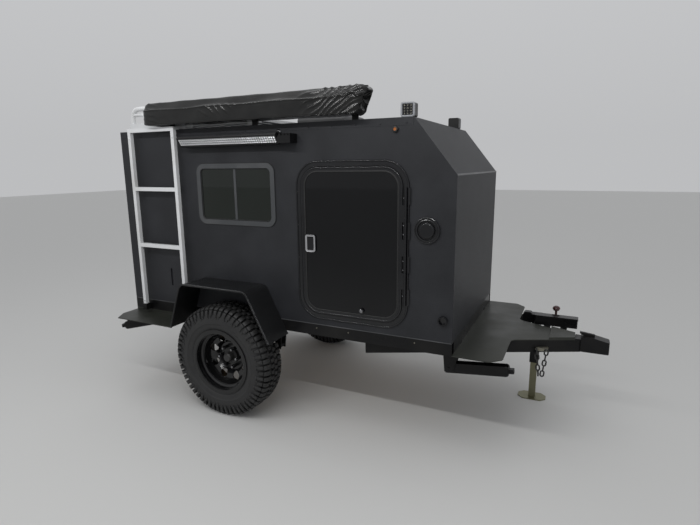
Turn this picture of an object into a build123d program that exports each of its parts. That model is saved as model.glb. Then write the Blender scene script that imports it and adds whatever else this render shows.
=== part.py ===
from build123d import *
from math import asin, atan2, cos, degrees, pi, radians, sin, tan
import os

# Squaredrop camping trailer. All sizes are in mm.
# The frame: +X forward to the coupler, +Y to the trailer's left, +Z up.
# The origin is on the ground, under the middle of the overall length, on the centreline.
# A measure called "from the rear" is counted forward from the rear face of the body.

# Body shell
body_length = 2438.0
body_width = 1219.0
wall = 38.0
roof_height = 1878.0
front_top_height = 1578.0
chamfer_run = 237.0
rail_bottom = 585.0
rail_height = 75.0
rail_width = 50.0
rail_wall = 3.0
floor_thickness = 25.0
bulkhead_from_rear = 560.0
bulkhead_thickness = 12.0
counter_height = 300.0
counter_thickness = 18.0
shelf_height = 760.0
counter_setback = 40.0
shelf_setback = 120.0
panel_gap = 6.0

# Chassis
cross_member_width = 50.0
cross_members_between = 3
tongue_length = 800.0
tongue_angle = 25.0
beam_width = 51.0
beam_height = 75.0
beam_wall = 5.0
apex_behind_tip = 143.0
beam_trim = 12.0
ball_radius = 25.6
ball_depth = 44.0
ball_from_tip = 38.0
coupler_half_width = 40.0
coupler_latch_back = 70.0
coupler_latch_length = 36.0
coupler_lever_reach = 62.0
coupler_lift = 4.0
coupler_rise = 20.0
coupler_slope_run = 78.0
coupler_front_drop = 17.0
coupler_corner = 12.0
saddle_sheet = 8.0
axle_diameter = 60.0
spindle_diameter = 34.0
spindle_past_centre = 6.0
running_clearance = 0.05
spring_half_span = 330.0
spring_arch = 70.0
spring_width = 45.0
leaf_thickness = 8.0
leaf_shares = [1.0, 0.72, 0.44]

# Wheels
wheel_from_rear = 960.0
tyre_diameter = 750.0
tyre_width = 208.0
tyre_wall = 16.0
tread_depth = 15.0
tread_pitches = 22
lug_width = 58.0
lug_inner = 38.0
lug_drop = 58.0
rim_diameter = 440.0
rim_width = 186.0
rim_sheet = 6.0
disc_hole_diameter = 54.0
disc_hole_circle = 268.0
disc_holes = 8
hub_diameter = 108.0
hub_length = 92.0
disc_inset = 34.0
disc_sheet = 8.0
stud_circle = 139.7
stud_diameter = 22.0
studs = 6
tyre_to_body = 12.0

# Fenders and side steps
fender_reach = 227.0
fender_sheet = 4.0
fender_top_height = 875.0
fender_foot_height = 562.0
fender_rear_top = 281.0
fender_rear_foot = 392.0
fender_front_top = 247.0
fender_front_foot = 406.0
fender_bend = 45.0
lip_diameter = 13.0
step_sheet = 5.0
step_corner = 60.0

# Front deck and tongue plate
deck_sheet = 5.0
deck_depth = 265.0
deck_corner = 62.0
deck_neck_length = 470.0
deck_neck_fillet = 55.0
pan_length = 140.0
pan_seam = 2.0
pan_rise = 18.0

# Doors
door_from_front = 615.0
door_above_trim = 38.5
door_below_roof = 216.5
door_width = 718.0
door_corner = 150.0
frame_flange = 34.0
frame_flange_thickness = 5.0
frame_return = 4.0
stop_lip = 14.0
stop_sheet = 5.0
leaf_gap = 7.0
leaf_border = 36.0
leaf_proud = 10.0
glass_thickness = 5.0
hinge_pin_diameter = 6.0
hinge_barrel_diameter = 13.0
hinge_knuckles = 7
knuckle_gap = 0.3
latch_behind_door = 261.0
latch_height = 1172.0
latch_width = 70.0
latch_tall = 108.0
lock_ahead_of_door = 74.0
lock_height = 786.0
lock_diameter = 32.0

# Side windows
window_behind_door = 822.0
window_height_centre = 1454.0
window_width = 618.0
window_tall = 395.0
window_corner = 60.0
window_flange = 27.0
window_flange_thickness = 6.0
window_lining = 4.0
window_bar = 18.0

# Rear hatch
hatch_hinge_diameter = 12.0
hatch_hinge_half = 480.0
hatch_handle_reach = 32.0
hatch_handle_width = 120.0
hatch_handle_above_trim = 170.0
lamp_width = 110.0
lamp_height = 46.0
lamp_depth = 18.0
lamp_y = 480.0

# Roof rack
rack_from_rear = 35.0
rack_foot_inset = 60.0
rack_length = 1130.0
rack_half_width = 530.0
rack_foot_height = 22.0
rack_rail_height = 40.0
rack_rail_width = 30.0
slat_width = 68.0
slat_pitch = 88.0
slat_thickness = 20.0
hoop_tube = 32.0
hoop_rise = 100.0
hoop_bend = 62.0
brace_tube = 24.0
brace_below_hoop = 40.0
brace_level_run = 105.0
brace_run = 190.0
brace_bend = 30.0

# Awning bag
bag_from_rear = 340.0
bag_length = 1620.0
bag_depth = 140.0
bag_height = 150.0
bag_above_roof = 24.0
bag_near_y = -708.0
bag_round = 18.0
bag_end_round = 16.0
bag_ridge_share = 0.52
bag_ridge_lean = 14.0
bag_bracket_width = 40.0
bag_bracket_inset = 120.0
bag_bracket_sheet = 6.0

# Roof vent, lamps and small fittings
vent_from_rear = 1400.0
vent_size = 400.0
vent_lid_height = 92.0
vent_collar = 30.0
vent_opening = 322.0
vent_sheet = 5.0
vent_lug_y = 90.0
light_bar_from_rear = 619.0
light_bar_length = 768.0
light_bar_below_roof = 84.0
light_bar_reach = 92.0
light_bar_gap = 20.0
light_bar_rise = 34.0
light_bar_drop = 38.0
light_bar_brow = 16.0
light_bar_lens = 46.0
light_bar_lens_depth = 5.0
light_bar_cheek = 8.0
light_bar_fins = 5
light_bar_fin_depth = 5.0
light_bar_mount_inset = 60.0
light_bar_mount_width = 40.0
light_bar_end_length = 93.0
light_bar_end_reach = 78.0
light_bar_end_rise = 24.0
light_bar_end_drop = 30.0
light_bar_end_teeth = 4
light_bar_knob = 26.0
pod_behind_chamfer = 61.0
pod_y = 480.0
pod_size = 76.0
pod_depth = 64.0
pod_foot_height = 9.0
pod_corner = 10.0
pod_bezel = 9.0
pod_lens_depth = 5.0
marker_behind_chamfer = 104.0
marker_below_roof = 59.0
marker_diameter = 26.0
port_from_front = 154.0
port_height = 1283.0
port_diameter = 142.0
inlet_from_front = 53.0
inlet_height = 787.0
inlet_diameter = 52.0
slot_from_rear = 388.0
slot_low = 790.0
slot_high = 915.0
slot_width = 18.0

# Ladder
ladder_left_from_rear = 150.0
ladder_spacing = 400.0
ladder_tube = 26.0
ladder_stand_off = 30.0
ladder_foot_height = 640.0
ladder_hook_reach = 60.0
ladder_above_roof = 16.0
ladder_socket = 45.0
rung_heights = [1083.0, 1483.0]

# Jack
jack_ahead_of_body = 368.0
jack_y = 320.0
jack_leg_size = 44.0
jack_tube_size = 58.0
jack_tube_wall = 6.5
jack_tube_bottom = 265.0
jack_tube_top = 600.0
jack_leg_length = 330.0
jack_foot_sheet = 6.0
jack_foot_cut = 34.0
jack_cap_height = 16.0
jack_foot_length = 184.0
jack_foot_width = 120.0
crank_arm = 118.0
crank_sheet = 6.0
knob_diameter = 50.0
knob_height = 34.0
knob_stem_length = 28.0
gear_housing_length = 62.0
gear_housing_rise = 52.0

# Tongue fittings
case_behind_jack = 6.0
case_length = 260.0
case_near_y = 198.0
case_depth = 62.0
case_above_beam = -8.0
case_height = 64.0
case_lid_height = 14.0
case_arm_inset = 60.0
case_arm_width = 40.0
case_arm_sheet = 6.0
chain_ahead_of_body = 437.0
chain_wire = 8.0
chain_link_length = 44.0
chain_link_width = 27.0
chain_links = 5
chain_spread = 28.0
chain_plate_length = 72.0
chain_plate_height = 18.0
chain_plate_sheet = 8.0

# Stabiliser legs
leg_rear_length = 424.0
leg_front_length = 334.0
leg_width = 52.0
leg_depth = 58.0
leg_sheet = 4.0
leg_pin_diameter = 14.0
leg_foot_stub = 26.0
leg_rear_pin_drop = 42.0
leg_front_pin_drop = 106.0
leg_front_from_front = 35.0
leg_rear_from_rear = 380.0
leg_front_inset = 110.0
leg_rear_inset = 68.0
leg_front_splay = 0.0
leg_rear_splay = 27.0
leg_front_slope = -6.0
leg_rear_slope = 9.0
leg_bracket_sheet = 6.0

# Worked-out places
leg_tip_reach = ((leg_rear_length + leg_foot_stub) * cos(radians(leg_rear_slope))
                 * cos(radians(leg_rear_splay))
                 + leg_width / 2 * sin(radians(leg_rear_splay)) - leg_rear_from_rear)
rear_reach = max(hatch_handle_reach, leg_tip_reach)
overall_length = rear_reach + body_length + tongue_length
rear_x = -overall_length / 2 + rear_reach
front_x = rear_x + body_length
tip_x = front_x + tongue_length
side_y = body_width / 2
inner_y = side_y - wall
trim_height = rail_bottom + rail_height
floor_top = trim_height + floor_thickness
roof_inside = roof_height - wall
chamfer_x = front_x - chamfer_run
chamfer_angle = degrees(atan2(roof_height - front_top_height, chamfer_run))
wheel_x = rear_x + wheel_from_rear
axle_z = tyre_diameter / 2
wheel_y = side_y + tyre_to_body + tyre_width / 2
fender_y = side_y + fender_reach
door_x = front_x - door_from_front
window_x = door_x - window_behind_door
hinge_x = door_x + door_width / 2 - frame_flange / 2
apex_x = tip_x - apex_behind_tip
beam_end_x = apex_x - beam_trim
door_low = trim_height + door_above_trim
door_high = roof_height - door_below_roof
door_tall = door_high - door_low
door_height_centre = (door_low + door_high) / 2
bag_bottom_height = roof_height + bag_above_roof


def block(x0, x1, y0, y1, z0, z1):
    """A box between two corners."""
    return Pos(x0, y0, z0) * Box(x1 - x0, y1 - y0, z1 - z0, align=(Align.MIN, Align.MIN, Align.MIN))


def rod(start, end, diameter):
    """A round bar between two points."""
    a, b = Vector(*start), Vector(*end)
    return Plane(a, z_dir=b - a) * Cylinder(
        diameter / 2, (b - a).length, align=(Align.CENTER, Align.CENTER, Align.MIN))


def side_prism(points, y0, y1):
    """A closed outline of (x, z) points, drawn out between two y values."""
    face = make_face(Polyline([(x, y0, z) for x, z in points], close=True))
    return extrude(face, amount=y1 - y0, dir=(0, 1, 0))


def plan_prism(points, z0, z1):
    """A closed outline of (x, y) points, drawn up between two heights."""
    face = make_face(Polyline([(x, y, z0) for x, y in points], close=True))
    return extrude(face, amount=z1 - z0, dir=(0, 0, 1))


def rounded_panel(x, z, width, tall, corner, y0, y1):
    """A rounded rectangle in the side view, centred on x and z, between two y values."""
    outline = Plane((x, y0, z), x_dir=(1, 0, 0), z_dir=(0, 1, 0)) * RectangleRounded(width, tall, corner)
    return extrude(outline, amount=y1 - y0, dir=(0, 1, 0))


def bar_along_y(x, z, diameter, y0, y1):
    return rod((x, y0, z), (x, y1, z), diameter)


def left(shape):
    """The same piece on the trailer's left side."""
    return mirror(shape, about=Plane.XZ)


def tube_path(points, radii, diameter):
    """A round tube along straight runs joined by arcs."""
    path = FilletPolyline(*points, radius=radii)
    start = Plane(path @ 0, z_dir=path % 0)
    return sweep(start * Circle(diameter / 2), path=path)


def box_tube(length, width, height, sheet):
    """A rectangular tube along +X, open at both ends, standing on z = 0."""
    outer = Pos(length / 2, 0, height / 2) * Box(length, width, height)
    inner = Pos(length / 2, 0, height / 2) * Box(length + 2, width - 2 * sheet, height - 2 * sheet)
    return outer - inner


def joined(pieces):
    whole = pieces[0]
    for piece in pieces[1:]:
        whole = whole + piece
    return whole


# Chassis: perimeter rails, cross members and the A-shaped tongue
def frame_rails():
    y = side_y - rail_width / 2
    tube = box_tube(body_length, rail_width, rail_height, rail_wall)
    return [Pos(rear_x, s * y, rail_bottom) * tube for s in (-1, 1)]


def cross_members():
    length = 2 * (side_y - rail_width)
    step = (body_length - cross_member_width) / (cross_members_between + 1)
    tube = Rot(0, 0, 90) * box_tube(length, cross_member_width, rail_height, rail_wall)
    places = [rear_x + cross_member_width / 2 + i * step for i in range(cross_members_between + 2)]
    return [Pos(x, -length / 2, rail_bottom) * tube for x in places]


def beam_centre_y(x):
    """Half the spread of the two tongue beams' centrelines at a place along X."""
    return (apex_x - x) * tan(radians(tongue_angle))


def beam_outer_y(x):
    return beam_centre_y(x) + beam_width / 2 / cos(radians(tongue_angle))


beam_back_y = side_y - rail_width
beam_back_x = apex_x - beam_back_y / tan(radians(tongue_angle))
beam_low = rail_bottom - beam_height


def tongue():
    length = (apex_x - beam_back_x) / cos(radians(tongue_angle)) + beam_width
    tube = box_tube(length, beam_width, beam_height, beam_wall)
    beam = Pos(beam_back_x, beam_back_y, beam_low) * Rot(0, 0, -tongue_angle) * tube
    beam = beam - block(beam_back_x, tip_x, -body_width, 0, 0, roof_height)
    beam = beam & block(beam_back_x - beam_width, beam_end_x, 0, body_width, 0, roof_height)
    return beam + left(beam)


def coupler():
    """Nose block welded to the beams' ends, with the saddle plate on top of them and the locking lever."""
    half = coupler_half_width
    low, high = beam_low + coupler_lift, rail_bottom + coupler_rise
    nose = block(beam_end_x, tip_x, -half, half, low, high)
    front = [e for e in nose.edges().filter_by(Axis.Z) if e.center().X > tip_x - 1]
    nose = fillet(front, coupler_corner)
    nose = nose - side_prism([(tip_x - coupler_slope_run, high), (tip_x + 1, high - coupler_front_drop),
                              (tip_x + 1, high + 1),
                              (tip_x - coupler_slope_run, high + 1)], -half - 1, half + 1)
    back_x = front_x + deck_neck_length + pan_seam + pan_length + pan_seam
    half_back = beam_outer_y(back_x) - pan_seam
    saddle = plan_prism([(back_x, -half_back), (beam_end_x + saddle_sheet, -half),
                         (beam_end_x + saddle_sheet, half),
                         (back_x, half_back)], rail_bottom, rail_bottom + saddle_sheet)
    latch = block(tip_x - ball_from_tip - coupler_latch_back,
                  tip_x - ball_from_tip - coupler_latch_back + coupler_latch_length, -24, 24,
                  low - coupler_lift, low)
    lever = side_prism([(apex_x + 8, high), (apex_x + coupler_lever_reach, high),
                        (apex_x + coupler_lever_reach, high + 14), (apex_x - 20, high + 24),
                        (apex_x - 20, high + 14)], -9, 9)
    socket = Pos(tip_x - ball_from_tip, 0, low) * Cylinder(
        ball_radius, ball_depth, align=(Align.CENTER, Align.CENTER, Align.MIN))
    return nose + saddle + latch + lever - socket


def front_deck():
    f = front_x
    corner_y = side_y - deck_corner
    neck_x = f + deck_depth
    neck_y = beam_outer_y(neck_x)
    end_x = f + deck_neck_length
    half = [(f, side_y), (neck_x - deck_corner, side_y), (neck_x, corner_y), (neck_x, neck_y),
            (end_x, beam_outer_y(end_x))]
    points = half + [(x, -y) for x, y in reversed(half)]
    plate = plan_prism(points, rail_bottom, rail_bottom + deck_sheet)
    corners = [e for e in plate.edges().filter_by(Axis.Z)
               if abs(e.center().X - neck_x) < 1 and abs(abs(e.center().Y) - neck_y) < 1]
    plate = fillet(corners, deck_neck_fillet)
    soft = [e for e in plate.edges().filter_by(Axis.Z)
            if (abs(e.center().X - neck_x) < 1 and abs(abs(e.center().Y) - corner_y) < 1)
            or (abs(e.center().X - neck_x + deck_corner) < 1 and abs(abs(e.center().Y) - side_y) < 1)]
    return fillet(soft, deck_corner / 2)


def tongue_pan():
    """Shallow folded cover ahead of the deck, its edges turned down onto the beams."""
    x0 = front_x + deck_neck_length + pan_seam
    x1 = x0 + pan_length
    t = deck_sheet
    pan = plan_prism([(x0, beam_outer_y(x0)), (x1, beam_outer_y(x1)), (x1, -beam_outer_y(x1)),
                      (x0, -beam_outer_y(x0))],
                     rail_bottom, rail_bottom + pan_rise)
    x0, x1 = x0 + t, x1 - t
    inside = plan_prism([(x0, beam_outer_y(x0) - t), (x1, beam_outer_y(x1) - t), (x1, t - beam_outer_y(x1)),
                         (x0, t - beam_outer_y(x0))], rail_bottom - 1, rail_bottom + pan_rise - t)
    return pan - inside


# Axle, springs and their hangers
spring_y = side_y - rail_width / 2
axle_top = axle_z + axle_diameter / 2
spring_eye_z = axle_top + leaf_thickness * len(leaf_shares) + spring_arch * 0.55


def axle():
    half = wheel_y - rim_width / 2 - 6
    beam = bar_along_y(wheel_x, axle_z, axle_diameter, -half, half)
    end = wheel_y + spindle_past_centre
    spindles = bar_along_y(wheel_x, axle_z, spindle_diameter, -end, end)
    return beam + spindles


def leaf(share, low):
    """One curved leaf: the share of the full span, resting at height low in the middle."""
    rise = spring_eye_z - low
    radius = (spring_half_span ** 2 + rise ** 2) / (2 * rise)
    turn = degrees(asin(spring_half_span * share / radius))
    centre = (wheel_x, 0, low + radius)
    plane = Plane(centre, x_dir=(1, 0, 0), z_dir=(0, -1, 0))
    ring = plane * (Circle(radius) - Circle(radius - leaf_thickness))
    reach = 2 * radius
    left_x, right_x = -reach * tan(radians(turn)), reach * tan(radians(turn))
    wedge = plane * make_face(Polyline([(0, 0), (left_x, -reach), (right_x, -reach)], close=True))
    band = extrude(ring & wedge, amount=spring_width / 2, both=True)
    return band


def spring_pack():
    leaves = []
    count = len(leaf_shares)
    for i, share in enumerate(leaf_shares):
        low = axle_top + 10 + (count - 1 - i) * leaf_thickness
        leaves.append(leaf(share, low))
    seat = block(wheel_x - 40, wheel_x + 40, -spring_width / 2, spring_width / 2,
                 axle_top - axle_diameter * 0.2, axle_top + 10 + 3)
    seat = seat - bar_along_y(wheel_x, axle_z, axle_diameter, -spring_width, spring_width)
    eyes = [bar_along_y(wheel_x + s * spring_half_span, spring_eye_z, 34, -spring_width / 2,
                        spring_width / 2)
            for s in (-1, 1)]
    whole = joined(leaves + eyes + [seat])
    holes = [bar_along_y(wheel_x + s * spring_half_span, spring_eye_z, 16, -spring_width,
                         spring_width) for s in (-1, 1)]
    for hole in holes:
        whole = whole - hole
    return whole


def springs():
    return [Pos(0, s * spring_y, 0) * spring_pack() for s in (-1, 1)]


def spring_hangers():
    """Cheek plates under the rails with the bolts through the spring eyes."""
    pieces = []
    cheek = 6.0
    for side in (-1, 1):
        for end in (-1, 1):
            x = wheel_x + end * spring_half_span
            y = side * spring_y
            cheeks = []
            for c in (-1, 1):
                inner = y + c * (spring_width / 2 + 1 + cheek / 2)
                shape = side_prism([(x - 34, rail_bottom), (x + 34, rail_bottom),
                                    (x + 18, spring_eye_z - 20),
                                    (x - 18, spring_eye_z - 20)], inner - cheek / 2, inner + cheek / 2)
                cheeks.append(shape)
            reach = spring_width / 2 + cheek + 9
            bolt = bar_along_y(x, spring_eye_z, 15.9, y - reach, y + reach)
            pieces.append(joined(cheeks + [bolt]))
    return pieces


# Wheels: right side first, the left one is its mirror image
def tyre_outline():
    """Carcass to the bottom of the tread grooves, as (y, radius)."""
    r_out = tyre_diameter / 2
    r_bead = rim_diameter / 2 - 14
    r_mid = r_bead + (r_out - r_bead) * 0.55
    half = tyre_width / 2
    bead = rim_width / 2 - rim_sheet - 0.3
    outer = [(bead, r_bead), (bead, r_bead + 18), (half, r_mid), (half - 14, r_out - 42),
             (half - 46, r_out - tread_depth)]
    inner = [(bead - tyre_wall, r_bead), (half - tyre_wall, r_mid),
             (half - 58, r_out - tread_depth - tyre_wall)]
    return outer + [(-y, r) for y, r in reversed(outer)] + [(-y, r) for y, r in inner] + [
        (y, r) for y, r in reversed(inner)]


def shoulder_lug(side, top):
    """One tread lug at the top of the tyre, from the crown over the shoulder."""
    half = tyre_width / 2
    r_out = tyre_diameter / 2
    outline = [(lug_inner, r_out - tread_depth - 4), (lug_inner, top), (half - 30, top),
               (half - 8, top - 20),
               (half - 2, r_out - lug_drop), (half - 20, r_out - lug_drop)]
    return extrude(make_face(Polyline([(-lug_width / 2, side * y, r) for y, r in outline], close=True)),
                   amount=lug_width, dir=(1, 0, 0))


def tyre():
    """Ring of flat-faced pitches, each with an outer shoulder lug and two halves of inner ones."""
    half_pitch = 180 / tread_pitches
    r_out = tyre_diameter / 2
    reach = tan(radians(half_pitch)) * 2 * r_out
    carcass = make_face(Polyline([(-reach, y, r) for y, r in tyre_outline()], close=True))
    pitch = extrude(carcass, amount=2 * reach, dir=(1, 0, 0)) + shoulder_lug(-1, r_out)
    inner_lug = shoulder_lug(1, r_out * cos(radians(half_pitch)))
    for s in (-1, 1):
        pitch = pitch + Pos(s * tan(radians(half_pitch)) * r_out, 0, 0) * inner_lug
    pitch = pitch & side_prism([(0, 0), (reach, 2 * r_out), (-reach, 2 * r_out)], -tyre_width, tyre_width)
    turned = [Rot(0, i * 2 * half_pitch, 0) * pitch for i in range(tread_pitches)]
    return Pos(wheel_x, -wheel_y, axle_z) * turned[0].fuse(*turned[1:])


def rim():
    """Deep steel rim: rolled barrel, holed disc, hub barrel, with y measured outwards as negative."""
    r_flange = rim_diameter / 2
    half = rim_width / 2
    t = rim_sheet
    barrel = [(-half, r_flange), (-half + t, r_flange), (-half + t, r_flange - 16),
              (-half + 40, r_flange - 20),
              (-half + 52, r_flange - 34), (half - 40, r_flange - 34), (half - 30, r_flange - 20),
              (half - t, r_flange - 16), (half - t, r_flange), (half, r_flange), (half, r_flange - 16 - t),
              (half - 30, r_flange - 20 - t), (half - 40, r_flange - 34 - t),
              (-half + 52, r_flange - 34 - t),
              (-half + 40, r_flange - 20 - t), (-half, r_flange - 16 - t)]
    r_in = r_flange - 34 - t
    y0, y1 = disc_inset, disc_inset + disc_sheet
    disc = [(y0, hub_diameter / 2 + 2), (y0, 98), (y0 - 26, 118), (y0 - 32, 150), (y0 - 26, r_in + 0.5),
            (y1 - 26, r_in + 0.5), (y1 - 32, 150), (y1 - 26, 120), (y1, 101), (y1, hub_diameter / 2 + 2)]
    pieces = []
    for ring in (barrel, disc):
        face = make_face(Polyline([(0, y, r) for y, r in ring], close=True))
        pieces.append(revolve(face, axis=Axis.Y))
    body = pieces[0] + pieces[1]
    for i in range(disc_holes):
        a = 2 * pi * (i + 0.5) / disc_holes
        x, z = disc_hole_circle / 2 * cos(a), disc_hole_circle / 2 * sin(a)
        body = body - bar_along_y(x, z, disc_hole_diameter, -rim_width, rim_width)
    for i in range(studs):
        a = 2 * pi * i / studs
        x, z = stud_circle / 2 * cos(a), stud_circle / 2 * sin(a)
        body = body + bar_along_y(x, z, stud_diameter, disc_inset - 22, disc_inset + 6)
    return Pos(wheel_x, -wheel_y, axle_z) * body


def hub():
    """Hub with its dust cap, bored for the spindle."""
    r = hub_diameter / 2
    seat = disc_inset + disc_sheet + 0.3
    cap = -spindle_past_centre - 12
    profile = [(cap, 0), (cap, r - 30), (cap + 8, r - 24), (disc_inset - 10, r - 22), (disc_inset - 10, r),
               (seat, r), (seat, r + 30), (seat + 14, r + 30), (seat + 14, r + 8),
               (hub_length, r), (hub_length, 0)]
    face = make_face(Polyline([(0, y, d) for y, d in profile], close=True))
    body = revolve(face, axis=Axis.Y)
    bore = bar_along_y(0, 0, spindle_diameter + 2 * running_clearance, -spindle_past_centre - 4,
                       hub_length + 1)
    return Pos(wheel_x, -wheel_y, axle_z) * (body - bore)


# Fenders and side steps
def fender_line():
    return [(wheel_x - fender_rear_foot, fender_foot_height),
            (wheel_x - fender_rear_top, fender_top_height),
            (wheel_x + fender_front_top, fender_top_height),
            (wheel_x + fender_front_foot, fender_foot_height)]


def fender_lip(diameter):
    points = [(x, -fender_y + lip_diameter / 2, z) for x, z in fender_line()]
    return tube_path(points, [fender_bend, fender_bend], diameter)


def fender():
    """Bent sheet over the wheel with a rolled outer lip."""
    line = fender_line()
    path = FilletPolyline(*[(x, -side_y, z) for x, z in line], radius=[fender_bend, fender_bend])
    face = make_face(offset(path, amount=fender_sheet, side=Side.RIGHT, closed=True))
    sheet = extrude(face, amount=fender_reach, dir=(0, -1, 0))
    return sheet + fender_lip(lip_diameter)


def side_step():
    x1 = wheel_x - fender_rear_foot - fender_sheet - 0.3
    top = fender_foot_height + 6
    points = [(rear_x, -side_y), (x1, -side_y), (x1, -fender_y), (rear_x + step_corner, -fender_y),
              (rear_x, -fender_y + step_corner * 1.6)]
    plate = plan_prism(points, top - step_sheet, top)
    flange = block(rear_x, x1, -side_y, -side_y + step_sheet, top - step_sheet, rail_bottom)
    return joined([plate, flange]) - fender_lip(lip_diameter + 0.6)


# Body panels
def side_wall():
    outline = [(rear_x, trim_height), (front_x, trim_height), (front_x, front_top_height),
               (chamfer_x, roof_height), (rear_x, roof_height)]
    panel = side_prism(outline, -side_y, -inner_y)
    through = (-side_y - 1, -inner_y + 1)
    door_cut = rounded_panel(door_x, door_height_centre, door_width - 2 * frame_flange + 2 * frame_return,
                             door_tall - 2 * frame_flange + 2 * frame_return,
                             door_corner - frame_flange + frame_return, *through)
    window_cut = rounded_panel(window_x, window_height_centre, window_width - 2 * window_flange,
                               window_tall - 2 * window_flange, window_corner - window_flange, *through)
    slot = block(rear_x + slot_from_rear - slot_width / 2, rear_x + slot_from_rear + slot_width / 2,
                 -side_y - 1, -side_y + 9, slot_low, slot_high)
    return panel - door_cut - window_cut - slot


def floor():
    return block(rear_x + wall + panel_gap, front_x - wall, -inner_y, inner_y, trim_height, floor_top)


low_mitre = wall * tan(radians(45 - chamfer_angle / 2))
high_mitre = wall * tan(radians(chamfer_angle / 2))


def front_wall():
    return side_prism([(front_x - wall, trim_height), (front_x, trim_height), (front_x, front_top_height),
                       (front_x - wall, front_top_height - low_mitre)], -inner_y, inner_y)


def chamfer_panel():
    """The sloping panel between the front wall and the roof, mitred to both."""
    return side_prism([(front_x, front_top_height), (chamfer_x, roof_height),
                       (chamfer_x - high_mitre, roof_inside),
                       (front_x - wall, front_top_height - low_mitre)], -inner_y, inner_y)


def roof():
    panel = side_prism([(rear_x, roof_height), (chamfer_x, roof_height),
                        (chamfer_x - high_mitre, roof_inside),
                        (rear_x, roof_inside)], -inner_y, inner_y)
    x, h = rear_x + vent_from_rear, vent_opening / 2
    return panel - block(x - h, x + h, -h, h, roof_inside - 1, roof_height + 1)


def galley():
    """The bulkhead behind the cabin, with the counter, its dividers and the shelf at the rear."""
    x0 = rear_x + wall + counter_setback
    x1 = rear_x + bulkhead_from_rear
    top = floor_top + counter_height
    bulkhead = block(x1, x1 + bulkhead_thickness, -inner_y, inner_y, floor_top, roof_inside)
    counter = block(x0, x1, -inner_y, inner_y, top - counter_thickness, top)
    shelf = block(x0 + shelf_setback, x1, -inner_y, inner_y, floor_top + shelf_height - counter_thickness,
                  floor_top + shelf_height)
    pieces = [bulkhead, counter, shelf]
    for side in (-1, 1):
        y = side * body_width / 6
        pieces.append(block(x0, x1, y - counter_thickness / 2, y + counter_thickness / 2, floor_top, top))
    return joined(pieces)


# Doors: right side first
def door_frame():
    """Outer flange ring and the return that lines the opening, with the fixed hinge knuckles."""
    x, z = door_x, door_height_centre
    flange = rounded_panel(x, z, door_width, door_tall, door_corner, -side_y - frame_flange_thickness,
                           -side_y)
    hole = rounded_panel(x, z, door_width - 2 * frame_flange, door_tall - 2 * frame_flange,
                         door_corner - frame_flange, -side_y - 20, -inner_y + 20)
    lining = rounded_panel(x, z, door_width - 2 * frame_flange + 2 * frame_return,
                           door_tall - 2 * frame_flange + 2 * frame_return,
                           door_corner - frame_flange + frame_return, -side_y, -inner_y)
    stop = rounded_panel(x, z, door_width - 2 * frame_flange, door_tall - 2 * frame_flange,
                         door_corner - frame_flange, -inner_y - stop_sheet, -inner_y)
    stop_hole = rounded_panel(x, z, door_width - 2 * frame_flange - 2 * stop_lip,
                              door_tall - 2 * frame_flange - 2 * stop_lip,
                              door_corner - frame_flange - stop_lip, -inner_y - stop_sheet - 1, -inner_y + 1)
    flange = fillet(flange.faces().sort_by(Axis.Y)[0].edges(), frame_flange_thickness * 0.9)
    ring = flange + lining - hole
    return ring + (stop - stop_hole)


def knuckle_spans():
    """Heights of the hinge knuckles, from the lowest up."""
    tall = door_tall - 2 * door_corner
    low = door_height_centre - tall / 2
    step = tall / hinge_knuckles
    return [(low + i * step + knuckle_gap / 2, low + (i + 1) * step - knuckle_gap / 2)
            for i in range(hinge_knuckles)]


hinge_y = -side_y - leaf_proud - hinge_barrel_diameter / 2 + 1


def hinge_part(fixed):
    """Every other knuckle: the fixed ones carry the pin, the door's ones turn on it."""
    pieces = []
    for i, (low, high) in enumerate(knuckle_spans()):
        if (i % 2 == 0) != fixed:
            continue
        barrel = rod((hinge_x, hinge_y, low), (hinge_x, hinge_y, high), hinge_barrel_diameter)
        if fixed:
            plate = block(hinge_x, hinge_x + 24, -side_y - frame_flange_thickness - 3,
                          -side_y - frame_flange_thickness, low, high)
            web = block(hinge_x, hinge_x + 5, hinge_y, -side_y - frame_flange_thickness, low, high)
        else:
            plate = block(hinge_x - 30, hinge_x, -side_y - leaf_proud - 3, -side_y - leaf_proud, low, high)
            web = block(hinge_x - 5, hinge_x, hinge_y, -side_y - leaf_proud, low, high)
        whole = barrel + plate + web
        if not fixed:
            bore = hinge_pin_diameter + 2 * running_clearance
            whole = whole - rod((hinge_x, hinge_y, low - 1), (hinge_x, hinge_y, high + 1), bore)
        pieces.append(whole)
    if fixed:
        spans = knuckle_spans()
        pieces.append(rod((hinge_x, hinge_y, spans[0][0]), (hinge_x, hinge_y, spans[-1][1]),
                          hinge_pin_diameter))
    return joined(pieces)


leaf_width = door_width - 2 * frame_flange - 2 * leaf_gap
leaf_tall = door_tall - 2 * frame_flange - 2 * leaf_gap
leaf_corner = door_corner - frame_flange - leaf_gap
leaf_depth = wall + leaf_proud - stop_sheet - leaf_gap


def door_leaf():
    """Ring-shaped leaf with a rebate for the glass, and the turning hinge knuckles."""
    x, z = door_x, door_height_centre
    outside = -side_y - leaf_proud
    ring = rounded_panel(x, z, leaf_width, leaf_tall, leaf_corner, outside, outside + leaf_depth)
    cut = rounded_panel(x, z, leaf_width - 2 * leaf_border, leaf_tall - 2 * leaf_border,
                        leaf_corner - leaf_border, outside - 1, outside + leaf_depth + 1)
    rebate = rounded_panel(x, z, leaf_width - leaf_border, leaf_tall - leaf_border,
                           leaf_corner - leaf_border / 2, outside - 1, outside + 2 + glass_thickness)
    return ring - cut - rebate


def door_glass():
    x, z = door_x, door_height_centre
    outside = -side_y - leaf_proud + 2
    return rounded_panel(x, z, leaf_width - leaf_border - 1, leaf_tall - leaf_border - 1,
                         leaf_corner - leaf_border / 2 - 0.5, outside, outside + glass_thickness)


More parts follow.
